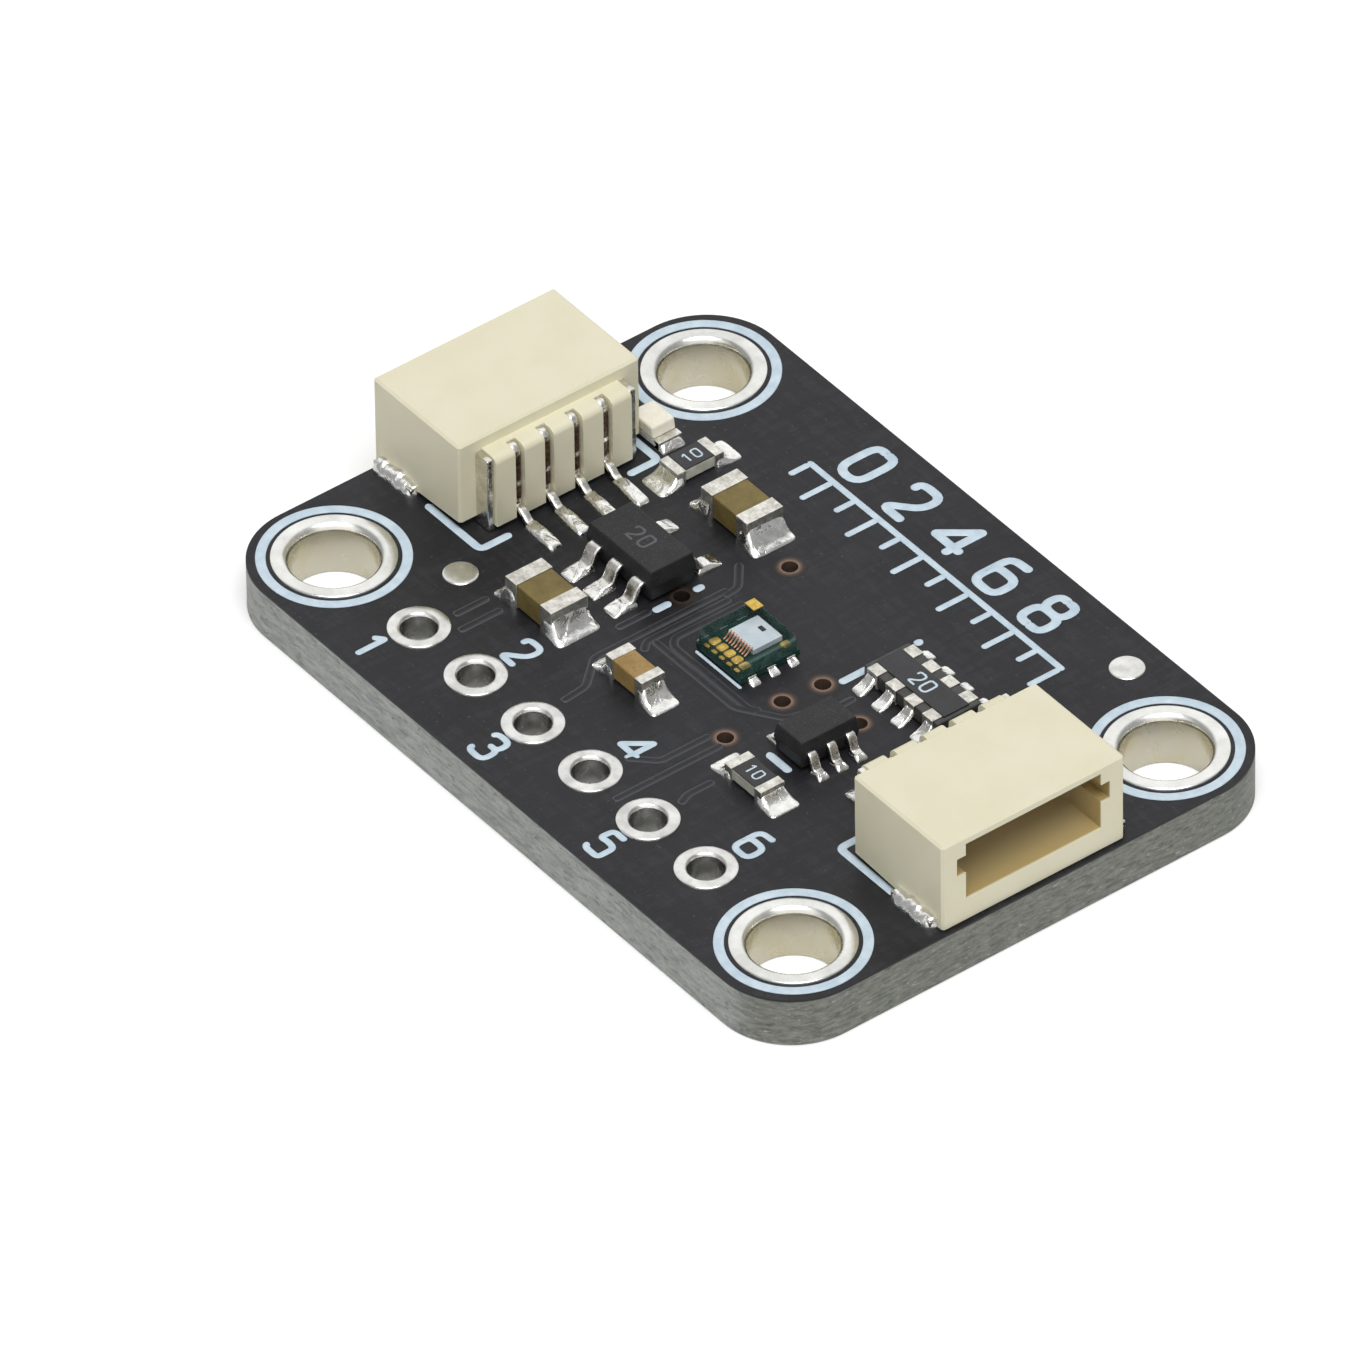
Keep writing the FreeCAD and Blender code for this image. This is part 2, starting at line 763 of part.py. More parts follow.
def make_shell(side, turn, metal):
    """Moulded shell: a keyed box in front and a ribbed block with contact slots behind."""
    body = new_body(f"{side}_shell")
    side_view = [
        ("rib_depth", "shell_back_standoff"),
        ("socket_depth", "shell_front_standoff"),
        ("socket_depth", "socket_top"),
        ("rib_depth", "socket_top"),
    ]
    box = outline(body, f"{side}_shell_side", "XZ_Plane", side_view)
    pad(body, box, "socket_length", both_ways=True)
    front, top = value("socket_depth"), value("socket_top")
    up, across, along = Vector(0, 0, 1), Vector(0, 1, 0), Vector(1, 0, 0)

    def is_outer_edge(edge):
        if runs_along(edge, up):
            return True
        level = near(edge.CenterOfMass.z, top)
        return level and (runs_along(edge, across) or runs_along(edge, along))

    chamfered(body, f"{side}_shell_edges", "shell_bevel", is_outer_edge)
    ribs = rectangle(body, f"{side}_rib_plan", "XY_Plane", "0", "rib_depth + shell_bevel",
                     "-rib_half_length", "rib_half_length", "rib_standoff")
    pad(body, ribs, "rib_top - rib_standoff")
    rib_level = value("rib_top")

    def is_rib_edge(edge):
        at_back = near(edge.CenterOfMass.x, 0)
        return runs_along(edge, across) and at_back and near(edge.CenterOfMass.z, rib_level)

    rounded(body, f"{side}_rib_edge", "rib_round", is_rib_edge)
    mouth = [
        ("-cavity_half_length", "cavity_bottom"),
        ("cavity_half_length", "cavity_bottom"),
        ("cavity_half_length", "keyway_bottom"),
        ("keyway_half_length", "keyway_bottom"),
        ("keyway_half_length", "keyway_top"),
        ("cavity_half_length", "keyway_top"),
        ("cavity_half_length", "cavity_top"),
        ("-cavity_half_length", "cavity_top"),
        ("-cavity_half_length", "keyway_top"),
        ("-keyway_half_length", "keyway_top"),
        ("-keyway_half_length", "keyway_bottom"),
        ("-cavity_half_length", "keyway_bottom"),
    ]
    opening = outline(body, f"{side}_mouth", "YZ_Plane", mouth, "socket_depth")
    pocket(body, opening, "cavity_depth")
    first = contact_offset(1)
    slot = rectangle(body, f"{side}_slot", "XY_Plane", "-rib_round", "slot_depth",
                     f"{first} - slot_width / 2", f"{first} + slot_width / 2", "rib_top")
    slot_cut = pocket(body, slot, "rib_top - rib_standoff")
    row = body.newObject("PartDesign::LinearPattern", f"{side}_slots")
    row.Originals = [slot_cut]
    row.Direction = (slot, ["V_Axis"])
    bind(row, "Length", f"{SOCKET_CONTACTS - 1} * contact_pitch")
    row.Occurrences = SOCKET_CONTACTS
    body.Tip = row
    socket_place(body, side, turn)
    shell = cut(f"{side}_shell_fitted", body, group(f"{side}_socket_metal", metal))
    return node(f"{side}_socket_shell", shell)


def solder(heap, side, turn, metal):
    """Solder round a tail or foot of a socket."""
    heap_placed = group(heap.Name + "_placed", [heap])
    socket_place(heap_placed, side, turn)
    return cut(heap.Name + "_solder", heap_placed, metal)


def make_socket(side, turn):
    """Contacts, hold-down plates, the shell that grips them, and their solder."""
    numbers = range(1, SOCKET_CONTACTS + 1)
    contacts = [make_contact(side, number, turn) for number in numbers]
    plates = [make_hold_down(side, end, turn) for end in (-1, 1)]
    make_shell(side, turn, contacts + plates)
    joints = []
    wide, narrow = "contact_land_width / 2", "(contact_width / 2 + land_thickness)"
    for number, contact in zip(numbers, contacts):
        middle = contact_offset(number)
        base = (
            "-contact_land_reach",
            "-contact_land_start",
            f"{middle} - {wide}",
            f"{middle} + {wide}",
        )
        crest = (
            "-tail_reach - land_thickness",
            "-tail_slope - land_thickness",
            f"{middle} - {narrow}",
            f"{middle} + {narrow}",
        )
        heap = mound(f"{side}_contact_heap_{number}", base, crest, "contact_solder_height")
        joints.append(solder(heap, side, turn, contact))
    front, shell_side = "socket_depth - foot_front", "socket_length / 2"
    for end, plate in zip((-1, 1), plates):
        base = in_order(f"{end} * {shell_side}", f"{end} * foot_solder_reach")
        crest = in_order(f"{end} * {shell_side}", f"{end} * ({shell_side} + land_thickness)")
        heap = mound(f"{side}_foot_heap_{side_name(end)}", ("foot_start", front, *base),
                     ("foot_start + solder_inset", f"{front} - solder_inset", *crest),
                     "foot_solder_height")
        joints.append(solder(heap, side, turn, plate))
    node(f"{side}_socket_solder", group(f"{side}_socket_solder_set", joints))


# Moulded packages with bent leads

def make_package(kind, label, near_leads, far_leads, turn):
    """Tapered moulding with leads on two sides. Lead rows run along local X."""
    body = new_body(f"{kind}_moulding")
    base = "land_thickness"
    levels = [
        (f"{base} + {kind}_standoff", f"{kind}_taper"),
        (f"{base} + {kind}_lead_exit + {kind}_lead_strip / 2", "0"),
        (f"{base} + {kind}_height", f"{kind}_taper"),
    ]
    sections = []
    for index, (level, inset) in enumerate(levels):
        half_x, half_y = f"({kind}_length / 2 - {inset})", f"({kind}_width / 2 - {inset})"
        sections.append(rectangle(body, f"{kind}_section_{index}", "XY_Plane", f"-{half_x}",
                                  half_x, f"-{half_y}", half_y, level))
    loft = body.newObject("PartDesign::AdditiveLoft", f"{kind}_loft")
    loft.Profile = sections[0]
    loft.Sections = sections[1:]
    loft.Ruled = True
    body.Tip = loft

    lead = new_body(f"{kind}_lead")
    strip, exit_level = f"{kind}_lead_strip", f"({base} + {kind}_lead_exit)"
    root = f"({kind}_width / 2 - {kind}_lead_root)"
    side = f"{kind}_width / 2 + {strip} / 2"
    heel, toe = f"({kind}_lead_reach - {kind}_foot)", f"{kind}_lead_reach"
    profile = [
        (root, exit_level),
        (side, exit_level),
        (heel, base),
        (toe, base),
        (toe, f"{base} + {strip}"),
        (f"{heel} + {strip} / 2", f"{base} + {strip}"),
        (f"{side} + {strip} / 2", f"{exit_level} + {strip}"),
        (root, f"{exit_level} + {strip}"),
    ]
    section = outline(lead, f"{kind}_lead_profile", "XZ_Plane", profile)
    pad(lead, section, f"{kind}_lead_width", both_ways=True)

    leads, heaps = [], []
    wide, narrow = f"{kind}_land_width / 2", f"({kind}_lead_width / 2 + land_thickness)"
    for end, places in ((-1, near_leads), (1, far_leads)):
        for number, step in enumerate(places, start=1):
            name = f"{kind}_{side_name(end)}_{number}"
            shift = f"{step} * {kind}_pitch"
            leads.append(copy_at(name + "_lead", lead, shift, "0", "0", end * 90))
            heap = mound(name + "_heap",
                         (f"{kind}_land_start", f"{kind}_land_reach", f"-{wide}", wide),
                         (f"{heel} + {strip}", f"{toe} + {strip} / 2", f"-{narrow}", narrow),
                         f"{kind}_solder_height")
            bared = cut(name + "_bared", heap, lead)
            heaps.append(place(bared, shift, "0", "0", end * 90))
    lead_set = group(f"{kind}_lead_set", leads)
    moulding = cut(f"{kind}_fitted", body, lead_set)
    x, y = f"{kind}_x", f"{kind}_y"
    leads_placed = group(f"{kind}_leads_placed", [lead_set])
    solder_set = group(f"{kind}_solder_set", heaps)
    node(f"{label}_body", place(moulding, x, y, "board_thickness", turn))
    node(f"{label}_leads", place(leads_placed, x, y, "board_thickness", turn))
    node(f"{label}_solder", place(solder_set, x, y, "board_thickness", turn))


# Chips with a wrapped terminal at each end

def cast(name, items, kind, turn=0):
    """Pieces kept together and put at the place of their kind of chip."""
    return place(group(name, items), f"{kind}_x", f"{kind}_y", "board_thickness", turn)


def end_solder(tag, inside, inner, toe, reach, base_half, crest_half, height):
    """Solder from under a terminal to its land, sloped from the toe of the terminal."""
    end = -1 if "_left" in tag else 1
    base = in_order(f"{end} * ({inner})", f"{end} * {reach}")
    crest = in_order(f"{end} * ({inner})", f"{end} * ({toe})")
    heap = mound(tag + "_heap", (*base, f"-{base_half}", base_half),
                 (*crest, f"-({crest_half})", crest_half), height)
    return cut(tag + "_bared", heap, group(tag + "_inside", inside))


def make_chip(kind, turn=0, sizes=None, coated=False):
    """Ceramic block with tinned caps at both ends, standing on two soldered lands."""
    kind_size = sizes or kind
    length, width, height = f"{kind_size}_length", f"{kind_size}_width", f"{kind_size}_height"
    band, face, z = f"{kind_size}_band", f"{kind_size}_length / 2", "land_thickness"
    core = block(f"{kind}_core", f"{length} - 2 * cap_wall", f"{width} - 2 * cap_wall",
                 f"{height} - 2 * cap_wall", z=f"{z} + cap_wall")
    caps, joints = [], []
    for end in (-1, 1):
        tag = f"{kind}_{'left' if end < 0 else 'right'}"
        cap = block(tag + "_cap", band, width, height, x=f"{end} * ({length} - {band}) / 2", z=z)
        caps.append(cut(tag + "_terminal", cap, core))
        joints.append(end_solder(tag, [core, caps[-1]], f"{face} - {band}",
                                 f"{face} + chip_solder_toe", f"{kind_size}_land_reach",
                                 f"{kind_size}_land_width / 2", f"{width} / 2 - solder_inset",
                                 f"{z} + {height} * chip_solder_share"))
    if coated:
        coat = block(f"{kind}_coat", f"{length} - 2 * {band}", f"{width} - 2 * cap_wall",
                     "coat_thickness", z=f"{z} + {height} - cap_wall")
        node(f"{kind}_coat", cast(f"{kind}_coat_placed", [coat], kind, turn))
    node(f"{kind}_body", cast(f"{kind}_block", [core], kind, turn))
    node(f"{kind}_terminals", cast(f"{kind}_terminals", caps, kind, turn))
    return cast(f"{kind}_solder", joints, kind, turn)


def make_array():
    """Four resistors in one ceramic block, with four terminals along each long side."""
    z = "land_thickness"
    core = block("array_core", "array_length", "array_width - 2 * cap_wall",
                 "array_height - 2 * cap_wall", z=f"{z} + cap_wall")
    coat = block("array_coat", "array_length - 2 * array_notch", "array_width - 2 * array_band",
                 "coat_thickness", z=f"{z} + array_height - cap_wall")
    caps, joints = [], []
    wide, narrow = "array_land_width / 2", "(array_terminal_width / 2 - solder_inset)"
    for end in (-1, 1):
        toe = f"{end} * (array_width / 2 + solder_inset)"
        ys = in_order(f"{end} * array_land_start", f"{end} * array_land_reach")
        crest = in_order(f"{end} * array_land_start", toe)
        for number, step in enumerate(steps(ARRAY_RESISTORS), start=1):
            tag = f"array_{side_name(end)}_{number}"
            middle = f"{step} * array_land_pitch"
            cap = block(tag + "_cap", "array_terminal_width", "array_band", "array_height",
                        f"{step} * array_pitch", f"{end} * (array_width - array_band) / 2", z)
            caps.append(cut(tag + "_terminal", cap, core))
            heap = mound(tag + "_heap", (f"{middle} - {wide}", f"{middle} + {wide}", *ys),
                         (f"{middle} - {narrow}", f"{middle} + {narrow}", *crest),
                         f"{z} + array_height * chip_solder_share")
            joints.append(cut(tag + "_bared", heap, group(tag + "_inside", [core, caps[-1]])))
    pieces = {"body": [core], "coat": [coat], "terminals": caps, "solder": joints}
    for name, items in pieces.items():
        node(f"resistor_array_{name}", cast(f"array_{name}_set", items, "array"))


def make_lamp():
    """Small lamp: a flat base with tinned ends and a tapered clear lens."""
    z = "land_thickness"
    base = block("lamp_core", "lamp_length - 2 * cap_wall", "lamp_width",
                 "lamp_base_height - 2 * cap_wall", z=f"{z} + cap_wall")
    half, half_width = "lamp_lens_length / 2", "lamp_width / 2"
    lens = mound("lamp_lens_shape", (f"-{half}", half, f"-{half_width}", half_width),
                 (f"lamp_lens_taper - {half}", f"{half} - lamp_lens_taper", f"-{half_width}",
                  half_width), "lamp_height - lamp_base_height + cap_wall")
    bind(lens, "Placement.Base.z", f"{z} + lamp_base_height - cap_wall")
    caps, joints = [], []
    for end in (-1, 1):
        tag = f"lamp_{'left' if end < 0 else 'right'}"
        cap = block(tag + "_cap", "lamp_band", "lamp_width", "lamp_base_height",
                    f"{end} * (lamp_length - lamp_band) / 2", z=z)
        caps.append(cut(tag + "_terminal", cap, base))
        joints.append(end_solder(tag, [base, caps[-1]], "lamp_length / 2 - lamp_band",
                                 "lamp_length / 2 + solder_inset", "lamp_land_reach",
                                 "lamp_land_width / 2", "lamp_width / 2 - solder_inset",
                                 f"{z} + lamp_base_height * chip_solder_share"))
    for name, items in (("base", [base]), ("lens", [lens]), ("terminals", caps)):
        node(f"power_lamp_{name}", cast(f"lamp_{name}_set", items, "lamp"))
    return cast("lamp_solder", joints, "lamp")


# The light sensor

def make_sensor():
    """Clear block with a silicon chip and gold bonds inside, on a board with six terminals."""
    z = "land_thickness"
    deck = f"{z} + sensor_board_thickness"
    board = block("sensor_board", "sensor_side", "sensor_side", "sensor_board_thickness", z=z)
    die = block("sensor_die", "die_length", "die_width", "die_thickness", "die_x", "die_y", deck)
    pads = []
    for number, step in enumerate(steps(BOND_PADS), start=1):
        pads.append(block(f"bond_pad_{number}", "bond_pad_length", "bond_pad_width",
                          "bond_pad_thickness", f"{step} * bond_pad_pitch", "bond_pad_y", deck))
    pads.append(block("bond_pad_side", "bond_pad_length", "bond_pad_length",
                      "bond_pad_thickness", "side_pad_x", "side_pad_y", deck))
    index_pad = block("index_pad", "index_pad_length", "index_pad_width", "bond_pad_thickness",
                      "(index_pad_length - sensor_side) / 2",
                      "(sensor_side - index_pad_width) / 2",
                      f"{z} + sensor_height - bond_pad_thickness")
    clear = block("sensor_clear", "sensor_side", "sensor_side",
                  "sensor_height - sensor_board_thickness", z=deck)
    window = cut("sensor_clear_cast", clear, group("sensor_inside", [die, index_pad] + pads))
    terminals, joints = [], []
    half_width = "sensor_terminal_width / 2"
    wide, narrow = "sensor_land_width / 2", f"({half_width} - land_thickness)"
    for end in (-1, 1):
        toe = f"{end} * (sensor_side / 2 + sensor_terminal_out + land_thickness)"
        xs = in_order(f"{end} * sensor_land_start", f"{end} * sensor_land_reach")
        crest = in_order(f"{end} * sensor_land_start", toe)
        for number, step in enumerate(steps(SIDE_TERMINALS), start=1):
            tag = f"sensor_{'left' if end < 0 else 'right'}_{number}"
            y = f"{step} * sensor_terminal_pitch"
            terminal = block(tag + "_terminal", "sensor_terminal_out", "sensor_terminal_width",
                             "sensor_terminal_height",
                             f"{end} * (sensor_side + sensor_terminal_out) / 2", y, z)
            terminals.append(terminal)
            heap = mound(tag + "_heap", (*xs, f"{y} - {wide}", f"{y} + {wide}"),
                         (*crest, f"{y} - {narrow}", f"{y} + {narrow}"),
                         f"{z} + sensor_terminal_height * chip_solder_share")
            joints.append(cut(tag + "_bared", heap, group(tag + "_inside", [board, terminal])))
    pieces = {
        "substrate": [board],
        "chip": [die],
        "bond_pads": pads,
        "index_pad": [index_pad],
        "window": [window],
        "terminals": terminals,
        "solder": joints,
    }
    for name, items in pieces.items():
        made = group(f"sensor_{name}_set", items)
        node(f"light_sensor_{name}", place(made, "0", "0", "board_thickness"))


make_board()
make_plating("mounting_hole_plating", mount_places(), PAD_SIDES, "mount_bore_radius",
             "mount_pad_radius", mount_hole())
make_plating("header_hole_plating", header_places(), SMALL_PAD_SIDES, "header_bore_radius",
             "header_pad_radius", header_hole())
make_vias()
make_fiducials()
make_rings()
make_brackets()
make_bars()
make_socket("left", 180)
make_socket("right", 0)
make_package("regulator", "regulator", (-1, 0, 1), (-1, 1), 0)
make_package("shifter", "level_shifter", (-1, 0, 1), (-1, 0, 1), 90)
chip_solder = [
    make_chip("input_capacitor", sizes="power_capacitor"),
    make_chip("output_capacitor", sizes="power_capacitor"),
    make_chip("sensor_capacitor"),
    make_chip("interrupt_resistor", sizes="resistor", coated=True),
    make_chip("lamp_resistor", turn=90, sizes="resistor", coated=True),
    make_lamp(),
]
node("chip_solder", group("chip_solder_set", chip_solder))
make_array()
make_sensor()
doc.recompute()

for item in doc.Objects:
    if "Invalid" in item.State or "Error" in item.State:
        raise ValueError(item.Name + " failed: " + str(item.State))
os.makedirs("parts", exist_ok=True)
for name, item in nodes.items():
    shape = Part.getShape(item)
    if shape.isNull() or not shape.isValid() or not shape.Solids:
        raise ValueError(name + " has no valid solid")
for name, item in nodes.items():
    Part.getShape(item).exportStep(f"parts/{name}.step")
print(len(nodes), "sub-parts written")
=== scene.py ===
# %% [markdown]
# # A light sensor module
# The object is a small black circuit board, 25 mm long, with a clear light sensor in the middle, an ivory
# socket at each end, two small chips, a few capacitors and resistors, and a row of plated holes. The packed
# CAD model is the skeleton. Each visible form is made again on it with softer edges, smoother curves and
# the finish of its real material.

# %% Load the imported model
from functools import partial
from math import cos, pi, radians, sin

import bmesh
import bpy
import numpy as np
from mathutils import Matrix, Vector


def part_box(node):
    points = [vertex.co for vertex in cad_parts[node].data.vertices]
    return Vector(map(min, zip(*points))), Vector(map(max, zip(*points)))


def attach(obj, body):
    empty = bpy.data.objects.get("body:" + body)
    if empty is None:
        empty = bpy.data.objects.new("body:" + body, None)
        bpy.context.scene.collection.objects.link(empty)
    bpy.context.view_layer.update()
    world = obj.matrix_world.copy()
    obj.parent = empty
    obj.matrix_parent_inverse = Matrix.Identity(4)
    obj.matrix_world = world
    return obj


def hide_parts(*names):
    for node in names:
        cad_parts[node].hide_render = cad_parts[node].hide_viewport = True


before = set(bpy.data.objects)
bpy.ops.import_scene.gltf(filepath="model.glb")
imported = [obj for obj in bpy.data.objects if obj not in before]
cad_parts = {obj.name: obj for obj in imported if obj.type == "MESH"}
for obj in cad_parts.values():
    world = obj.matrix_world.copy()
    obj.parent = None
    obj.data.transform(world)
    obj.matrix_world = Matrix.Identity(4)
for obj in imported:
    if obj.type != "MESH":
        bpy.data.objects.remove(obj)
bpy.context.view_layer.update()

MM = 0.001                      # one millimetre in metres
print(len(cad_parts), "nodes loaded")

# %% [markdown]
# ## Numbers that everything shares
# All sizes are in millimetres and are turned to metres only when a mesh is written. The board lies with its
# underside at z = 0 and its parts on top of it, so the top face of the laminate is the floor for the parts.

# %% Places on the board
TOP = 1.6                       # top face of the board
UNDER = 0.03                    # its lower face, a pad's thickness above the model's floor
BOARD_HALF = (12.5, 8.75)
CORNER = 2.3                    # radius of its corners
MOUNT_HOLES = [(x, y) for x in (-10.16, 10.16) for y in (-6.35, 6.35)]
HEADER_HOLES = [(2.54 * step, -6.35) for step in (-2.5, -1.5, -0.5, 0.5, 1.5, 2.5)]
VIAS = [(-2.11, 3.07), (2.32, 0.75), (2.20, -0.54), (2.43, -2.66), (4.21, 0.52), (-2.96, 0.02)]
FIDUCIALS = [(-7.47, -4.08), (6.89, 7.61)]
MOUNT_BORE, MOUNT_LAND = 1.25, 1.756        # radius of a plated hole and of the ring round it
HEADER_BORE, HEADER_LAND = 0.5, 0.886
MOUNT_DRILL, HEADER_DRILL = 1.42, 0.55      # radius of the hole in the laminate, which the ring hides
VIA_DRILL = 0.25
print(len(MOUNT_HOLES) + len(HEADER_HOLES) + len(VIAS), "holes through the board")

# %% [markdown]
# ## The camera
# The photograph was taken from far away with a long lens, from the near right corner, about forty degrees
# above the table. Its place was worked out from the ten plated holes, whose spacing is known. It comes
# first, so that every later cell can be looked at through it.

# %% Camera
AZIMUTH, ELEVATION, ROLL = radians(52.8961), radians(40.4733), radians(-0.9153)
DISTANCE, SHIFT_RIGHT, SHIFT_UP = 679.813, 1.859, -0.4633
SENSOR, LENS = 36, 664.67
back = Vector((sin(AZIMUTH) * cos(ELEVATION), -cos(AZIMUTH) * cos(ELEVATION), sin(ELEVATION)))
level = Vector((cos(AZIMUTH), sin(AZIMUTH), 0))
upward = back.cross(level)
right = cos(ROLL) * level + sin(ROLL) * upward
up = -sin(ROLL) * level + cos(ROLL) * upward
camera = bpy.data.objects.new("camera", bpy.data.cameras.new("camera"))
camera.data.sensor_width = SENSOR
camera.data.lens = LENS
camera.data.clip_start, camera.data.clip_end = 0.05, 20
spot = (DISTANCE * back - SHIFT_RIGHT * right - SHIFT_UP * up) * MM
turned = Matrix((right, up, back)).transposed().to_4x4()
camera.matrix_world = Matrix.Translation(spot) @ turned
bpy.context.scene.collection.objects.link(camera)
bpy.context.scene.camera = camera
bpy.context.scene.view_settings.view_transform = "Standard"
print("camera at", [round(v, 3) for v in spot])

# %% [markdown]
# ## One way to write materials
# Colours are noted as they are seen on a screen, in sRGB hex, and a shader wants them linear. One function
# turns them, and one function adds a node with its settings and its links. A table gives the nodes short
# names and their inputs an order, so that a material reads like a list of what its surface has. A ramp, for
# one, goes from its second value to its third while its first goes from 0.3 to 0.7.

# %% Helpers for materials
def linear(colour):
    """Linear RGBA of an sRGB hex colour: ((c + 0.055) / 1.055) ** 2.4 for each channel c."""
    channels = np.array([int(colour[i:i + 2], 16) for i in (1, 3, 5)]) / 255
    curve = np.where(channels <= 0.04045, channels / 12.92, ((channels + 0.055) / 1.055) ** 2.4)
    return (*curve.tolist(), 1.0)


KINDS = {                       # name here: (kind of node, inputs in order of use, output, usual values)
    "where": ("TexCoord", (), None, {}),
    "surface": ("NewGeometry", (), None, {}),
    "ray": ("LightPath", (), None, {}),
    "attribute": ("Attribute", (), "Fac", {}),
    "axes": ("SeparateXYZ", ("Vector",), None, {}),
    "squeeze": ("Mapping", ("Vector", "Scale"), "Vector", {}),
    "noise": ("TexNoise", ("Vector", "Scale", "Detail", "Roughness"), "Fac",
              {"Detail": 3.0, "Roughness": 0.55}),
    "ramp": ("MapRange", ("Value", "To Min", "To Max", "From Min", "From Max"), "Result",
             {"From Min": 0.3, "From Max": 0.7}),
    "mix": ("Mix", (0, 6, 7), 2, {"data_type": "RGBA"}),
    "bump": ("Bump", ("Height", "Distance", "Normal"), "Normal", {"Strength": 1.0}),
    "size": ("Math", (0,), 0, {"operation": "ABSOLUTE"}),
    "sum": ("Math", (0, 1), 0, {"operation": "ADD"}),
    "difference": ("Math", (0, 1), 0, {"operation": "SUBTRACT"}),
    "product": ("Math", (0, 1), 0, {"operation": "MULTIPLY"}),
    "scaled sum": ("Math", (0, 1, 2), 0, {"operation": "MULTIPLY_ADD"}),
    "larger": ("Math", (0, 1), 0, {"operation": "MAXIMUM"}),
    "dot": ("VectorMath", (0, 1), "Value", {"operation": "DOT_PRODUCT"}),
    "coat": ("BsdfPrincipled", (), "BSDF", {}),
    "output": ("OutputMaterial", ("Surface",), None, {}),
    "sky": ("Background", ("Color", "Strength"), "Background", {}),
    "sky output": ("OutputWorld", ("Surface",), None, {}),
}


def add(tree, name, *values, **more):
    """Add a node and give back its output, or all its outputs where the table names none.

    The values go to its inputs in the table's order. One that is another node's socket is linked, and one
    that is text is a colour. A name in small letters is a setting of the node, any other is an input.
    """
    kind, order, output, usual = KINDS[name]
    node = tree.nodes.new("ShaderNode" + kind)
    for key, value in {**usual, **dict(zip(order, values)), **more}.items():
        if isinstance(key, str) and key.islower():
            setattr(node, key, value)
            continue
        socket = node.inputs[key.replace("_", " ") if isinstance(key, str) else key]
        if isinstance(value, bpy.types.NodeSocket):
            tree.links.new(value, socket)
        else:
            socket.default_value = linear(value) if isinstance(value, str) else value
    return node.outputs if output is None else node.outputs[output]


def blank(name):
    """A new material, the function that adds nodes to it, and its object coordinates in metres."""
    material = bpy.data.materials.new(name)
    material.use_nodes = True
    material.node_tree.nodes.clear()
    put = partial(add, material.node_tree)
    return material, put, put("where")["Object"]


def patches(size):
    """The scale at which the patches of a noise are about so many millimetres across: 1 / size."""
    return 1 / (size * MM)


print("helpers for materials ready")

# %% [markdown]
# ## Solder mask
# The black skin of the board is solder mask: a liquid epoxy, curtain coated and cured, a few hundredths of a
# millimetre thick. It dries with a faint orange-peel and a satin gloss, and dust settles on it. The cut edge
# of the board shows the laminate instead, woven glass in resin. The long sides are sawn to a grey, fibrous
# face. The right end with its corners is painted darker: painted shade. The weave of the glass can also be
# guessed under the mask. The mask is painted paler on slopes, such as the edges of the tracks: it is thinner
# there, and the paler tone is also a painted highlight. One material can hold all of it if it asks which way
# the surface faces. A noise on squeezed coordinates turns into threads. Peel, dust and weave are drawn
# coarser than they are, so that they show.

# %% Solder mask over laminate
mask, put, where = blank("solder mask, curtain coated, over glass-fibre laminate")
axes = put("axes", where)
cloud = put("noise", where, patches(2.2))
peel = put("noise", where, patches(0.16), 2.0)
skin = put("mix", put("ramp", cloud, 0, 1), "#1b1b1e", "#262629")
warp = put("noise", put("squeeze", where, (5, 1, 1)), patches(1.1), 2.0)
weft = put("noise", put("squeeze", where, (1, 5, 1)), patches(1.1), 2.0)
cloth = put("sum", warp, weft)
skin = put("mix", put("ramp", cloth, 0, 0.38, 0.96, 1.26), skin, "#36363a")
dust = put("ramp", put("noise", where, patches(0.09), 0.0), 0, 0.25, 0.78, 0.86)
skin = put("mix", dust, skin, "#6d7074")
thread = put("noise", put("squeeze", where, (1, 1, 4)), patches(0.5), 5.0, 0.7)
strand = put("ramp", thread, 0, 1, 0.36, 0.64)
sawn = put("mix", strand, "#8b8e8b", "#b3b5b0")
# painted shade: the right end of the cut edge and its corners are painted darker
shaded_end = put("mix", strand, "#696b64", "#8f9189")
cut_edge = put("mix", put("ramp", axes["X"], 0, 1, 10.4 * MM, 11.2 * MM), sawn, shaded_end)
pit = put("noise", put("squeeze", where, (1, 1, 2.5)), patches(0.3), 1.0)
cut_edge = put("mix", put("ramp", pit, 0, 0.5, 0.6, 0.74), cut_edge, "#4c4f4d")
tuft = put("noise", put("squeeze", where, (1, 1, 3)), patches(0.2), 2.0)
cut_edge = put("mix", put("ramp", tuft, 0, 0.6, 0.64, 0.74), cut_edge, "#c9cbc5")
lip = put("ramp", axes["Z"], 0, 1, (TOP - 0.09) * MM, (TOP - 0.05) * MM)
cut_edge = put("mix", lip, cut_edge, "#2a2b2c")
flatness = put("size", put("axes", put("surface")["Normal"])["Z"])
on_face = put("ramp", flatness, 0, 1, 0.4, 0.6)
# painted highlight: slopes of the mask are paler, where the mask is also thinner over the tracks' edges
thin_and_lit_slope = put("ramp", flatness, 1, 0, 0.93, 0.999)
skin = put("mix", thin_and_lit_slope, skin, "#4d4e51")
relief = put("bump", cloth, 0.003 * MM, put("bump", peel, 0.003 * MM))
put("output", put(
    "coat",
    Base_Color=put("mix", on_face, cut_edge, skin),
    Roughness=put("ramp", cloud, 0.4, 0.5),
    Specular_IOR_Level=0.25,
    Normal=put("bump", thread, 0.005 * MM, relief)))
print(mask.name)

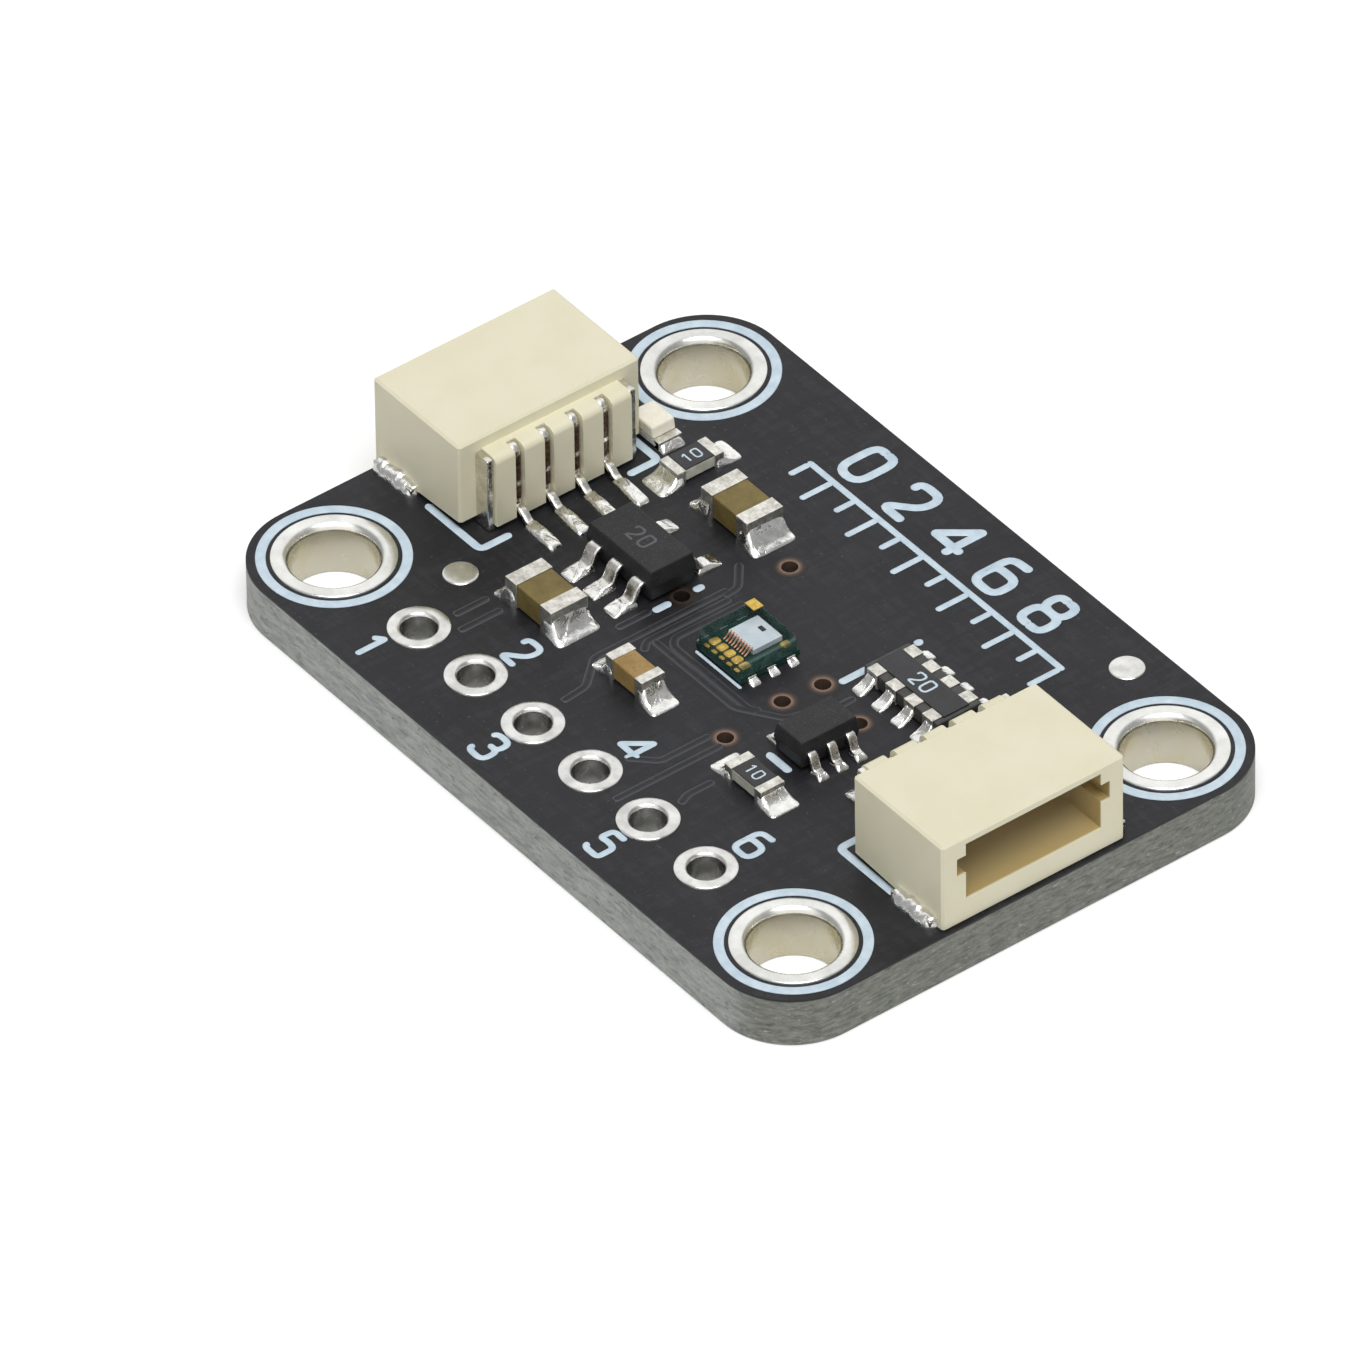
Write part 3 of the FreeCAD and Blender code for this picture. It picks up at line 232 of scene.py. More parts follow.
# %% [markdown]
# ## Metals of the board
# Tinned pads, leads and solder are all nearly pure tin. What tells them apart is how they froze. Pads are
# levelled by hot air and come out smooth and slightly domed. Leads are plated, which leaves a fine grain.
# Solder freezes from paste, bright and a little wrinkled, with grey flux dust in the hollows. In the bores of
# the mounting holes the tin is thin and turns a mottled cream.

# %% Tin in its finishes
def tin(name, dark, light, grain, rough, depth, patch=0.6, bore=None):
    """Tin that is mottled between two colours and two roughnesses, with a wrinkle of some depth.

    Where a colour for the bore is given, it takes over below the top of the board.
    """
    material, put, where = blank(name)
    cloud = put("noise", where, patches(patch))
    wrinkle = put("noise", where, patches(grain), 4.0)
    tone = put("ramp", put("scaled sum", wrinkle, 0.6, cloud), 0, 1, 0.55, 1.05)
    colour = put("mix", tone, dark, light)
    if bore:
        height = put("axes", where)["Z"]
        most = put("ramp", cloud, 0.5, 1)
        within = put("ramp", height, 0, most, (TOP + 0.02) * MM, (TOP - 0.25) * MM)
        colour = put("mix", within, colour, bore)
    put("output", put(
        "coat",
        Base_Color=colour,
        Metallic=1.0,
        Roughness=put("ramp", wrinkle, *rough),
        Normal=put("bump", wrinkle, depth * MM)))
    return material


PAD_TIN = tin("hot-air levelled tin", "#c6c6c3", "#e8e7e4", 0.4, (0.18, 0.3), 0.004, patch=0.8)
PLATED = tin("tinned copper, rolled into the bore", "#d3d3cf", "#f1f1ed", 0.5, (0.2, 0.3), 0.004, patch=1.2,
             bore="#c9c2a8")
LEAD_TIN = tin("plated matt tin", "#c4c2bd", "#f2f0ec", 0.09, (0.2, 0.36), 0.003, patch=0.3)
SOLDER = tin("reflowed solder", "#d4d4d1", "#fbfaf7", 0.28, (0.1, 0.22), 0.035, patch=0.3)
END_TIN = tin("barrel-plated tin ends", "#b3b1a8", "#f0eee6", 0.08, (0.34, 0.5), 0.008, patch=0.2)
CONTACT_TIN = tin("tinned phosphor bronze, stamped", "#bdbab2", "#f3f0e9", 0.12, (0.16, 0.3), 0.003)
print("tin finishes ready")

# %% [markdown]
# ## Contacts
# The contacts are stamped from strip that was tinned before, so their cut faces, which look out of the
# slots, are bare bronze. Inside the slots the contacts are painted dark brown all round: bare bronze and
# painted shade of the slot. A band of tin half way up is left bright, as a painted glint. The bend at the top
# and the tail below are bright, and so are the pins inside. All contacts stand at the same height and near
# the backs of their sockets, so the place says where the dark paint goes.

# %% Stamped contacts
CONTACT, put, where = blank("phosphor bronze, tinned and then stamped")
axes = put("axes", where)
grain = put("noise", where, patches(0.12))
across = put("size", axes["X"])
glint_band = put("size", put("difference", axes["Z"], (TOP + 1.2) * MM))
# painted shade and glint: dark bronze inside the slots, with a bright band of tin half way up
slot_shade_bronze = put("ramp", across, 0, 1, 8.65 * MM, 8.55 * MM)
for amount, start, end in ((axes["Z"], TOP + 0.6, TOP + 0.68), (axes["Z"], TOP + 2.24, TOP + 2.16),
                           (glint_band, 0.04, 0.09)):
    edge = put("ramp", amount, 0, 1, start * MM, end * MM)
    slot_shade_bronze = put("product", slot_shade_bronze, edge)
bronze = put("mix", put("ramp", grain, 0, 1), "#2e1d13", "#5d4330")
tinned = put("mix", put("ramp", grain, 0, 1), "#cfcdc6", "#f6f4ee")
put("output", put(
    "coat",
    Base_Color=put("mix", slot_shade_bronze, tinned, bronze),
    Metallic=put("ramp", slot_shade_bronze, 1, 0.3, 0, 1),
    Roughness=put("ramp", grain, 0.18, 0.32),
    Normal=put("bump", grain, 0.003 * MM)))
print(CONTACT.name)

# %% [markdown]
# ## Print, moulded plastics and ceramics
# The white print is a thick ink pressed through a mesh, so its edges creep and its face is chalky. Chips are
# moulded epoxy filled with silica, and the mould gives them a fine grain. A laser mark is the same epoxy,
# scorched paler. Capacitors are fired ceramic, dull and speckled. Resistors are white alumina under a black
# glass glaze. Gold plating is warm and half dull, silicon is a pale mirror, and the lamp's resin is milky.

# %% Dull and moulded finishes
def mottled(name, dark, light, patch, rough, grain, depth, speck=None, specular=0.5, **more):
    """A dull solid: two tones in patches, a grain in the surface, and specks where a colour is given."""
    material, put, where = blank(name)
    cloud = put("noise", where, patches(patch))
    fine = put("noise", where, patches(grain), 3.0)
    colour = put("mix", put("ramp", cloud, 0, 1), dark, light)
    if speck:
        some = put("ramp", put("noise", where, patches(grain * 0.8), 0.0), 0, 0.8, 0.68, 0.76)
        colour = put("mix", some, colour, speck)
    put("output", put(
        "coat",
        Base_Color=colour,
        Roughness=put("ramp", fine, *rough),
        Specular_IOR_Level=specular,
        Normal=put("bump", fine, depth * MM),
        **more))
    return material


INK = mottled("screen-printed epoxy ink", "#bccfdd", "#d3e2ec", 0.35, (0.5, 0.65), 0.07, 0.006)
MOULDED = mottled("epoxy moulding compound, fine ground", "#19191b", "#242426", 0.5, (0.5, 0.65),
                  0.05, 0.006, speck="#3c3c3e", specular=0.4)
GLAZE = mottled("black glass glaze", "#17171a", "#26262a", 0.5, (0.16, 0.3), 0.12, 0.004)
OLIVE = mottled("fired ceramic, olive", "#67592e", "#7c6c3a", 0.5, (0.5, 0.66), 0.06, 0.005, "#5a4c28")
AMBER = mottled("fired ceramic, amber", "#8f7240", "#a68b57", 0.5, (0.5, 0.66), 0.06, 0.005, "#7f5a2d")
# painted shade: the resistor array's white alumina body is painted dark grey, as the shade between its
# terminals
SHADED_ALUMINA = mottled("alumina in the shade of its terminals", "#2c2c2b", "#42423f", 0.3, (0.3, 0.45),
                       0.07, 0.005)
ALUMINA = mottled("white alumina", "#a8a99c", "#c9c8bd", 0.4, (0.3, 0.45), 0.07, 0.005)
CARRIER = mottled("dark green laminate", "#132f2a", "#22433a", 0.4, (0.45, 0.6), 0.08, 0.002, specular=0.2)
GOLD = mottled("gold over nickel", "#b58f27", "#e4c668", 0.14, (0.25, 0.38), 0.06, 0.002, Metallic=0.6)
SILICON = mottled("polished silicon", "#c6d3dc", "#dbe6ed", 0.5, (0.2, 0.3), 0.2, 0.001)
MARKED = mottled("laser mark on moulding compound", "#4b4b4e", "#5d5d60", 0.2, (0.6, 0.7), 0.05, 0.002)
WIRE = mottled("copper-gold bond wire", "#b8623f", "#f2cfae", 0.06, (0.25, 0.4), 0.05, 0.002, Metallic=0.7)
DARK = mottled("etched window, dark", "#141518", "#1e2024", 0.2, (0.3, 0.4), 0.06, 0.002)
LAMP_BODY = mottled("cloudy lamp resin", "#ece6d3", "#f6f2e4", 0.5, (0.2, 0.32), 0.2, 0.002,
                    Subsurface_Weight=0.3, Subsurface_Radius=(0.0005, 0.0005, 0.0004))
print("dull finishes ready")

# %% [markdown]
# ## Ivory nylon
# The sockets are ivory nylon, injection moulded, with a spark-eroded satin face. Nylon lets some light in,
# so walls glow a little. The inside of the socket is painted a warm tan: painted shade and painted bounce
# light, where light would cross the plastic several times. The material finds the inside by its place:
# between the side walls, under the roof and behind the mouth. The two mouths aren't equally far from the
# middle, so x is moved a little first. The painted tan is strongest just behind the mouth and weaker at the
# back, which the shade darkens anyway.

# %% Nylon
MOUTH, SHIFT = 12.54, 0.18      # of the sockets: distance from the middle, once x is moved by so much
IVORY, put, where = blank("nylon, injection moulded, spark-eroded satin")
cloud = put("noise", where, patches(1.6))
fine = put("noise", where, patches(0.09))
axes = put("axes", where)
along, across = [put("size", value) for value in (put("sum", axes["X"], SHIFT * MM), axes["Y"])]
# painted shade and bounce light: the tan inside the socket, found by its place
painted_cavity_shade = put("ramp", along, 0.8, 0.45, (MOUTH - 0.14) * MM, (MOUTH - 2.14) * MM)
for amount, low, high in ((across, 2.72, 2.68), (axes["Z"], TOP + 2.74, TOP + 2.71),
                          (axes["Z"], TOP + 0.72, TOP + 0.76), (along, 9.2, 9.25),
                          (along, MOUTH - 0.01, MOUTH - 0.07)):
    inside = put("ramp", amount, 0, 1, low * MM, high * MM)
    painted_cavity_shade = put("product", painted_cavity_shade, inside)
outer = put("mix", put("ramp", cloud, 0, 1), "#e5dfc3", "#e9e4ca")
put("output", put(
    "coat",
    Base_Color=put("mix", painted_cavity_shade, outer, "#a28433"),
    Roughness=put("ramp", fine, 0.42, 0.55),
    Specular_IOR_Level=0.4,
    Subsurface_Weight=0.1,
    Subsurface_Radius=(0.0005, 0.0004, 0.0002),
    Normal=put("bump", fine, 0.002 * MM)))
print(IVORY.name)

# %% [markdown]
# ## Clear resin
# The sensor is cast in clear epoxy, so that light of every colour reaches the chip below. It is cut from a
# larger sheet with a saw. Through the smooth top the chip and its gold pads show as they are. A clear body
# that bends light hides the chip from the lamp, so the top lets nearly everything straight through instead.
# The sides are painted dark green, as a painted reflection of the dark green carrier. The pair of sides
# beside the pads holds less of this painted reflection, and a wall that is seen from within holds the most.
# The round shoulders are painted paler than the walls: a painted sheen of the light from all around.

# %% Clear epoxy
RESIN, put, where = blank("clear epoxy, cast and sawn")
haze = put("noise", where, patches(0.3))
surface = put("surface")
sides = put("axes", surface["Normal"])
level = put("size", sides["Z"])
along = put("size", sides["X"])
# painted reflection: dark green on the walls stands for the mirrored carrier
painted_wall_reflection = put("ramp", along, 0.34, 0.78, 0.4, 0.9)
painted_wall_reflection = put("ramp", surface["Backfacing"], painted_wall_reflection, 0.85, 0, 1)
film = put("ramp", level, painted_wall_reflection, 0.07, 0.3, 0.85)
# painted sheen: the round shoulders are painted paler
shoulder = put("ramp", level, 0, 0.55, 0.2, 0.6)
shoulder = put("product", shoulder, put("ramp", level, 1, 0, 0.85, 0.98))
body = put("mix", put("ramp", haze, 0, 1), "#22403b", "#4a6963")
put("output", put(
    "coat",
    Base_Color=put("mix", shoulder, body, "#a3b3ae"),
    Roughness=put("ramp", haze, 0.22, 0.34),
    Specular_IOR_Level=0.3,
    IOR=1.5,
    Alpha=film))
print(RESIN.name)

# %% [markdown]
# ## Making meshes from arrays
# A shape here is a grid of points worked out all at once. Neighbouring points share a face, and each row of a
# grid closes on itself. Points that fall together, such as those of a pole, are merged.

# %% Helpers for meshes
def around(count):
    """Cosine and sine of equal angles over one turn."""
    angle = np.linspace(0, 2 * pi, count, endpoint=False)
    return np.cos(angle), np.sin(angle)


def squared_up(value, power):
    """sign(v) * |v| ** p, which turns a circle's cosine or sine into that of a rounded square."""
    return np.sign(value) * np.abs(value) ** power


def plan(low, high):
    """Half the size and the middle of a box, seen from above."""
    return (high - low)[:2] / 2, ((high + low) / 2)[:2]


def grid_faces(rows, columns, close_rows=False):
    """Four indices for each face between neighbouring points of a grid. Each row closes on itself."""
    row, column = np.meshgrid(np.arange(rows if close_rows else rows - 1), np.arange(columns),
                              indexing="ij")
    next_row, next_column = (row + 1) % rows, (column + 1) % columns
    corners = (row * columns + column, row * columns + next_column,
               next_row * columns + next_column, next_row * columns + column)
    return np.stack(corners, -1).reshape(-1, 4)


def joined(shapes):
    """Points and faces of several shapes as one."""
    starts = np.cumsum([0] + [len(points) for points, faces in shapes])
    points = np.concatenate([points for points, faces in shapes])
    return points, np.concatenate([faces + start for (_, faces), start in zip(shapes, starts)])


def welded(*meshes):
    """Several meshes as one mesh under work, with the points that fall together merged."""
    work = bmesh.new()
    for mesh in meshes:
        work.from_mesh(mesh)
    bmesh.ops.remove_doubles(work, verts=work.verts, dist=1e-7)
    return work


def place_piece(piece, material, replaced, sharp):
    """Link a finished mesh object, smooth it up to an angle, and tie it to the frame. Gives it back."""
    bpy.context.scene.collection.objects.link(piece)
    piece.data.materials.append(material)
    piece.data.shade_smooth()
    piece.data.set_sharp_from_angle(angle=radians(sharp))
    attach(piece, "root")
    if replaced:
        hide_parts(*replaced)
    return piece


def mesh_piece(name, shape, material, replaced=(), sharp=35):
    """A piece from points in millimetres and their faces, with its doubles merged and faces outward."""
    points, faces = shape
    mesh = bpy.data.meshes.new(name)
    mesh.from_pydata(points * MM, [], faces)
    work = welded(mesh)
    bmesh.ops.recalc_face_normals(work, faces=work.faces)
    work.to_mesh(mesh)
    work.free()
    piece = bpy.data.objects.new(name, mesh)
    print(f"{name}: {len(mesh.polygons)} faces")
    return place_piece(piece, material, replaced, sharp)


def merged(name, *nodes):
    """A mesh copied from CAD nodes, with the doubles merged and flat regions made single faces."""
    work = welded(*(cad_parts[node].data for node in nodes))
    bmesh.ops.dissolve_limit(work, angle_limit=radians(1), verts=work.verts, edges=work.edges)
    mesh = bpy.data.meshes.new(name)
    work.to_mesh(mesh)
    work.free()
    return mesh


def softened(name, nodes, material, width, segments=2):
    """A copy of CAD nodes whose edges are rounded by so many millimetres. It replaces them."""
    piece = bpy.data.objects.new(name, merged(name, *nodes))
    place_piece(piece, material, nodes, sharp=30)
    bevel = piece.modifiers.new("soft edges", "BEVEL")
    bevel.width = width * MM
    bevel.segments = segments
    bevel.limit_method = "ANGLE"
    bevel.angle_limit = radians(20)
    bevel.harden_normals = True
    print(f"{name}: {len(piece.data.polygons)} faces before its edges are rounded")


def islands(*nodes):
    """Lowest and highest corner of each separate solid of CAD nodes, in millimetres."""
    work = welded(*(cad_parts[node].data for node in nodes))
    boxes, left = [], set(work.verts)
    while left:
        heap, found = [left.pop()], []
        while heap:
            vertex = heap.pop()
            found.append(vertex.co)
            for edge in vertex.link_edges:
                other = edge.other_vert(vertex)
                if other in left:
                    left.remove(other)
                    heap.append(other)
        points = np.array(found) / MM
        boxes.append((points.min(0), points.max(0)))
    work.free()
    return sorted(boxes, key=lambda box: tuple(np.round(box[0], 3)))


print("helpers for meshes ready")

# %% [markdown]
# ## The board
# The board is a flat plate with rounded corners and sixteen holes. A flat outline with holes is what a filled
# 2D curve is good at: it fills between the outline and the circles, and its extrusion gives the thickness.
# It is turned into a mesh before it is put in place.

# %% Board
def circle(x, y, radius, count):
    """Points (x + r cos a, y + r sin a) at equal angles a around a centre."""
    c, s = around(count)
    return np.stack([x + radius * c, y + radius * s], -1)


def rounded_outline(half, radius, count=24):
    """A rectangle whose corners are quarter circles: four arcs, each about its own corner's centre."""
    arcs = []
    for turn, (sx, sy) in enumerate(((1, 1), (-1, 1), (-1, -1), (1, -1))):
        angle = np.linspace(turn * pi / 2, (turn + 1) * pi / 2, count)
        centre = np.array([sx * (half[0] - radius), sy * (half[1] - radius)])
        arcs.append(centre + radius * np.stack([np.cos(angle), np.sin(angle)], -1))
    return np.concatenate(arcs)


def flat_plate(name, loops, low, high):
    """A plate between two heights, filled between closed loops of points in millimetres."""
    curve = bpy.data.curves.new(name, "CURVE")
    curve.dimensions = "2D"
    curve.fill_mode = "BOTH"
    curve.extrude = (high - low) / 2 * MM
    for loop in loops:
        spline = curve.splines.new("POLY")
        spline.points.add(len(loop) - 1)
        flat = np.zeros((len(loop), 4))
        flat[:, :2], flat[:, 3] = loop * MM, 1
        spline.points.foreach_set("co", flat.ravel())
        spline.use_cyclic_u = True
    holder = bpy.data.objects.new(name, curve)
    mesh = bpy.data.meshes.new_from_object(holder)
    bpy.data.objects.remove(holder)
    mesh.transform(Matrix.Translation((0, 0, (low + high) / 2 * MM)))
    return mesh


loops = [rounded_outline(BOARD_HALF, CORNER)]
loops += [circle(x, y, MOUNT_DRILL, 64) for x, y in MOUNT_HOLES]
loops += [circle(x, y, HEADER_DRILL, 40) for x, y in HEADER_HOLES]
loops += [circle(x, y, VIA_DRILL, 24) for x, y in VIAS]
board = bpy.data.objects.new("board", flat_plate("board", loops, UNDER, TOP))
place_piece(board, mask, ["circuit_board"], sharp=40)
print("board:", len(board.data.polygons), "faces")

# %% [markdown]
# ## Plated holes
# A plated hole is an eyelet of tinned copper: a domed ring above, a barrel through the board and a matching
# ring below. It is one closed profile turned about the hole's axis, so that the bore, both domes and the
# hidden side of the barrel join without a seam.

# %% Eyelets and placing marks
PAD_HIGH = 0.08                 # how far a ring rises over the board


def revolved(profile, places, count):
    """Each profile point (r, z) goes round each place: x = r cos a, y = r sin a, z = z."""
    radius, height = np.array(profile, dtype=float).T
    x, y = (np.outer(radius, part) for part in around(count))
    z = np.repeat(height[:, None], count, 1)
    faces = grid_faces(len(radius), count, close_rows=True)
    return joined([(np.stack([x + px, y + py, z], -1).reshape(-1, 3), faces) for px, py in places])


def dome(inner, outer, low, high, count=9):
    """Points from the outer to the inner edge of a ring at height h * sin(a) ** 0.55, so its top is flat."""
    angle = np.linspace(0, pi, count)
    across = (inner + outer) / 2 + (outer - inner) / 2 * np.cos(angle)
    rise = (high - low) * np.sin(angle) ** 0.55
    return [(r, low + h) for r, h in zip(across, rise)]


def eyelet(bore, land, lip):
    """A pad that rises from its edge, then a quarter circle of the lip's radius that rolls into the bore."""
    roll = np.linspace(0, pi / 2, 7)
    upper = [(land, TOP - 0.01), (land - 0.015, TOP + PAD_HIGH * 0.45),
             (land - 0.05, TOP + PAD_HIGH * 0.72), (land - 0.12, TOP + PAD_HIGH * 0.86)]
    upper += [(bore + lip * (1 - sin(a)), TOP + PAD_HIGH - lip * (1 - cos(a))) for a in roll]
    lower = [(r, UNDER + 0.01 - z) for r, z in reversed(dome(bore, land, 0, UNDER + 0.01))]
    return upper + lower + [(bore + 0.1, UNDER + 0.2), (bore + 0.1, TOP - 0.2)]


mesh_piece("mounting_eyelets", revolved(eyelet(MOUNT_BORE, MOUNT_LAND, 0.26), MOUNT_HOLES, 72),
           PLATED, ["mounting_hole_plating"])
mesh_piece("header_eyelets", revolved(eyelet(HEADER_BORE, HEADER_LAND, 0.14), HEADER_HOLES, 48),
           PAD_TIN, ["header_hole_plating"])
disc = [(0, TOP + 0.03), (0.3, TOP + 0.03), (0.44, TOP + 0.028), (0.48, TOP + 0.02), (0.5, TOP), (0, TOP)]
mesh_piece("placing_marks", revolved(disc, FIDUCIALS, 40), PAD_TIN, ["fiducial_pads"])

# %% [markdown]
# ## Through-joins
# The small plated holes are covered with mask, which thins out over their sharp rims, so that warm copper
# shines through as a soft ring. The ring fades outwards, so each point carries a number for how much copper
# shows, and the material blends with it.

# %% Copper that shines through
copper, put, where = blank("copper under thin solder mask")
shine = put("attribute", attribute_name="copper")
patchy = put("noise", where, patches(0.12))
amount = put("product", shine, put("ramp", patchy, 0.7, 1))
put("output", put(
    "coat",
    Base_Color=put("mix", amount, "#1c1817", "#957a69"),
    Roughness=put("ramp", patchy, 0.35, 0.5),
    Specular_IOR_Level=0.3,
    Normal=put("bump", patchy, 0.004 * MM)))
rim = [(0.235, TOP - 0.02), (0.24, TOP + 0.008), (0.28, TOP + 0.01), (0.33, TOP + 0.008),
       (0.38, TOP + 0.005), (0.46, TOP + 0.001), (0.46, TOP - 0.05), (VIA_DRILL, TOP - 0.05),
       (VIA_DRILL, UNDER), (0.235, UNDER)]
fade = [1.0, 0.7, 0.3, 0.1, 0.0]            # copper that shows at the second to sixth point of the rim
# painted shadow: the through-join beside the regulator shows less copper, as the regulator's shadow
IN_BORE, CHIP_SHADOW = 0.28, 0.15            # its share in the bores and beside the regulator
vias = mesh_piece("through_joins", revolved(rim, VIAS, 32), copper, ["via_plating"])
centres = np.array(VIAS)
spots = np.empty(len(vias.data.vertices) * 3)
vias.data.vertices.foreach_get("co", spots)
spots = spots.reshape(-1, 3) / MM
away = np.linalg.norm(spots[:, None, :2] - centres[None], axis=2).min(1)
shown = np.interp(away, [r for r, z in rim[1:6]], fade) * np.where(spots[:, 2] > TOP - 0.01, 1, IN_BORE)
shown *= np.where(np.linalg.norm(spots[:, :2] - centres[-1], axis=1) < 0.5, CHIP_SHADOW, 1)
vias.data.attributes.new("copper", "FLOAT", "POINT").data.foreach_set("value", shown)
print("copper shows on", int((shown > 0.5).sum()), "points")

# %% [markdown]
# ## Print and tracks
# Lines of print and the tracks under the mask are both low ribbons: a narrow mound carried along a path.
# The path's corners are rounded first. Then each point of it gets a row across, whose width shrinks to
# nothing in a half circle at both ends, as wet ink and etched copper end.

# %% Ribbons
def round_path(points, radius, count=6):
    """A polyline whose corner c gives way to (1 - t) ** 2 * a + 2 t (1 - t) * c + t ** 2 * b.

    The points a and b lie on the legs, at the radius from the corner, and t goes from 0 to 1.
    """
    points = np.array(points, dtype=float)
    out = [points[:1]]
    for before, corner, after in zip(points[:-2], points[1:-1], points[2:]):
        start = corner + (before - corner) * min(0.5, radius / np.linalg.norm(before - corner))
        end = corner + (after - corner) * min(0.5, radius / np.linalg.norm(after - corner))
        t = np.linspace(0, 1, count)[:, None]
        out.append((1 - t) ** 2 * start + 2 * t * (1 - t) * corner + t ** 2 * end)
    return np.concatenate(out + [points[-1:]])


def ribbon(points, width, height, radius=0.0, low=TOP, power=4):
    """Across the path at offset u * w and height h * (1 - |u| ** power), with w falling off at the ends."""
    path = round_path(points, radius) if radius else np.array(points, dtype=float)
    step = np.linalg.norm(np.diff(path, axis=0), axis=1)
    path = path[np.concatenate([[True], step > 1e-4])]
    along = np.concatenate([[0], np.cumsum(step[step > 1e-4])])
    total, half = along[-1], min(width, along[-1]) / 2
    ends = half * (1 - np.cos(np.linspace(0, pi / 2, 6)))
    inner = along[(along > half) & (along < total - half)]
    marks = np.concatenate([ends, inner, total - ends])
    marks = np.sort(marks)[np.concatenate([[True], np.diff(np.sort(marks)) > 1e-4])]
    centre, ahead, behind = (np.stack([np.interp(marks + way, along, path[:, axis]) for axis in (0, 1)], -1)
                             for way in (0, 0.01, -0.01))
    tangent = (ahead - behind) / np.linalg.norm(ahead - behind, axis=1)[:, None]
    depth = np.clip(np.minimum(marks, total - marks) / half, 0, 1)
    reach = half * np.sqrt(1 - (1 - depth) ** 2)[:, None]
    u = np.array([-1, -0.85, -0.6, -0.3, 0, 0.3, 0.6, 0.85, 1, 0])
    shape = np.concatenate([1 - np.abs(u[:-1]) ** power, [0]])
    rise = height * shape * np.minimum(1, reach / half * 2)
    grid = np.stack([centre[:, :1] - tangent[:, 1:] * reach * u,
                     centre[:, 1:] + tangent[:, :1] * reach * u, low + rise], -1)
    return grid.reshape(-1, 3), grid_faces(len(marks), len(u))


INK_HIGH = 0.03                 # thickness of the print
RING_INNER, RING_OUTER = 1.86, 2.15
ring = dome(RING_INNER, RING_OUTER, TOP, TOP + INK_HIGH, count=11)
ring += [(RING_INNER + 0.04, TOP - 0.01), (RING_OUTER - 0.05, TOP - 0.01)]
mesh_piece("ring_print", revolved(ring, MOUNT_HOLES, 96), INK, ["printed_rings"])

# %% [markdown]
# ## Corner brackets and index bars
# Each printed corner and bar keeps the place of its solid, read from the frame, so that print and chips stay
# together. A bar is a straight ribbon along the longer side of its box. A bracket is a ribbon with a bend.

# %% Brackets and bars
def bar(low, high):
    """A straight ribbon that fills a box."""
    half, centre = plan(low, high)
    axis = int(half[1] > half[0])
    run = half * (np.arange(2) == axis)
    return ribbon([centre - run, centre + run], 2 * half[1 - axis], INK_HIGH)


def bracket(low, high, stroke=0.25):
    """A long leg along x and a short leg along y that meet in the corner nearest the board's middle."""
    middle = (low + high) / 2
    near_x = high[0] - stroke / 2 if middle[0] < 0 else low[0] + stroke / 2
    far_x = low[0] if middle[0] < 0 else high[0]
    near_y = high[1] - stroke / 2 if middle[1] > 0 else low[1] + stroke / 2
    far_y = low[1] if middle[1] > 0 else high[1]
    return ribbon([(far_x, near_y), (near_x, near_y), (near_x, far_y)], stroke, INK_HIGH, radius=0.2)


mesh_piece("bracket_print", joined([bracket(*box) for box in islands("printed_brackets")]), INK,
           ["printed_brackets"])
mesh_piece("bar_print", joined([bar(*box) for box in islands("printed_bars")]), INK,
           ["printed_bars"])

# %% [markdown]
# ## Tracks under the mask
# Copper tracks lie under the mask and lift it by the thickness of the foil. In slanting light each shows as a
# pair of thin lines. They are ribbons of mask, placed where the board shows them.

# %% Tracks
TRACK_WIDE, TRACK_HIGH = 0.26, 0.028
TRACKS = [
    [(-6.18, -4.1), (-6.18, -5.3)],
    [(-5.57, -4.1), (-5.57, -5.6)],
    [(-2.4, 1.2), (-2.4, -3.4), (-1.6, -4.3), (-1.5, -5.2)],
    [(-2.05, 1.0), (-2.05, -1.9), (-1.75, -2.2)],
    [(-1.7, 1.2), (-1.7, -1.2), (-1.45, -1.43), (1.9, -1.43), (2.15, -1.2)],
    [(-1.95, -1.7), (1.6, -1.7), (2.8, -0.9), (3.0, -0.2)],
    [(2.1, -2.9), (2.1, -4.6), (1.4, -5.3)],
    [(2.6, -2.9), (2.6, -6.6)],
    [(3.65, -4.0), (3.65, -4.9), (3.85, -5.3)],
    [(-3.1, 2.1), (-2.3, 1.45), (-2.25, 0.9)],
    [(3.3, 1.1), (3.3, 0.3)],
    [(-3.0, -1.0), (-3.0, -2.2)],
]
tracks = [ribbon(track, TRACK_WIDE, TRACK_HIGH, radius=0.15, power=2) for track in TRACKS]
mesh_piece("tracks", joined(tracks), mask, sharp=60)

# %% [markdown]
# ## Numbers in print
# The pins are numbered one to six beside their holes. Where a board of this kind would carry its title, this
# one has a graduated scale with plain numbers, as printed rulers have. Layout programs draw such figures
# with one round pen, so each digit is a few strokes of that pen: ribbons whose corners are rounded.

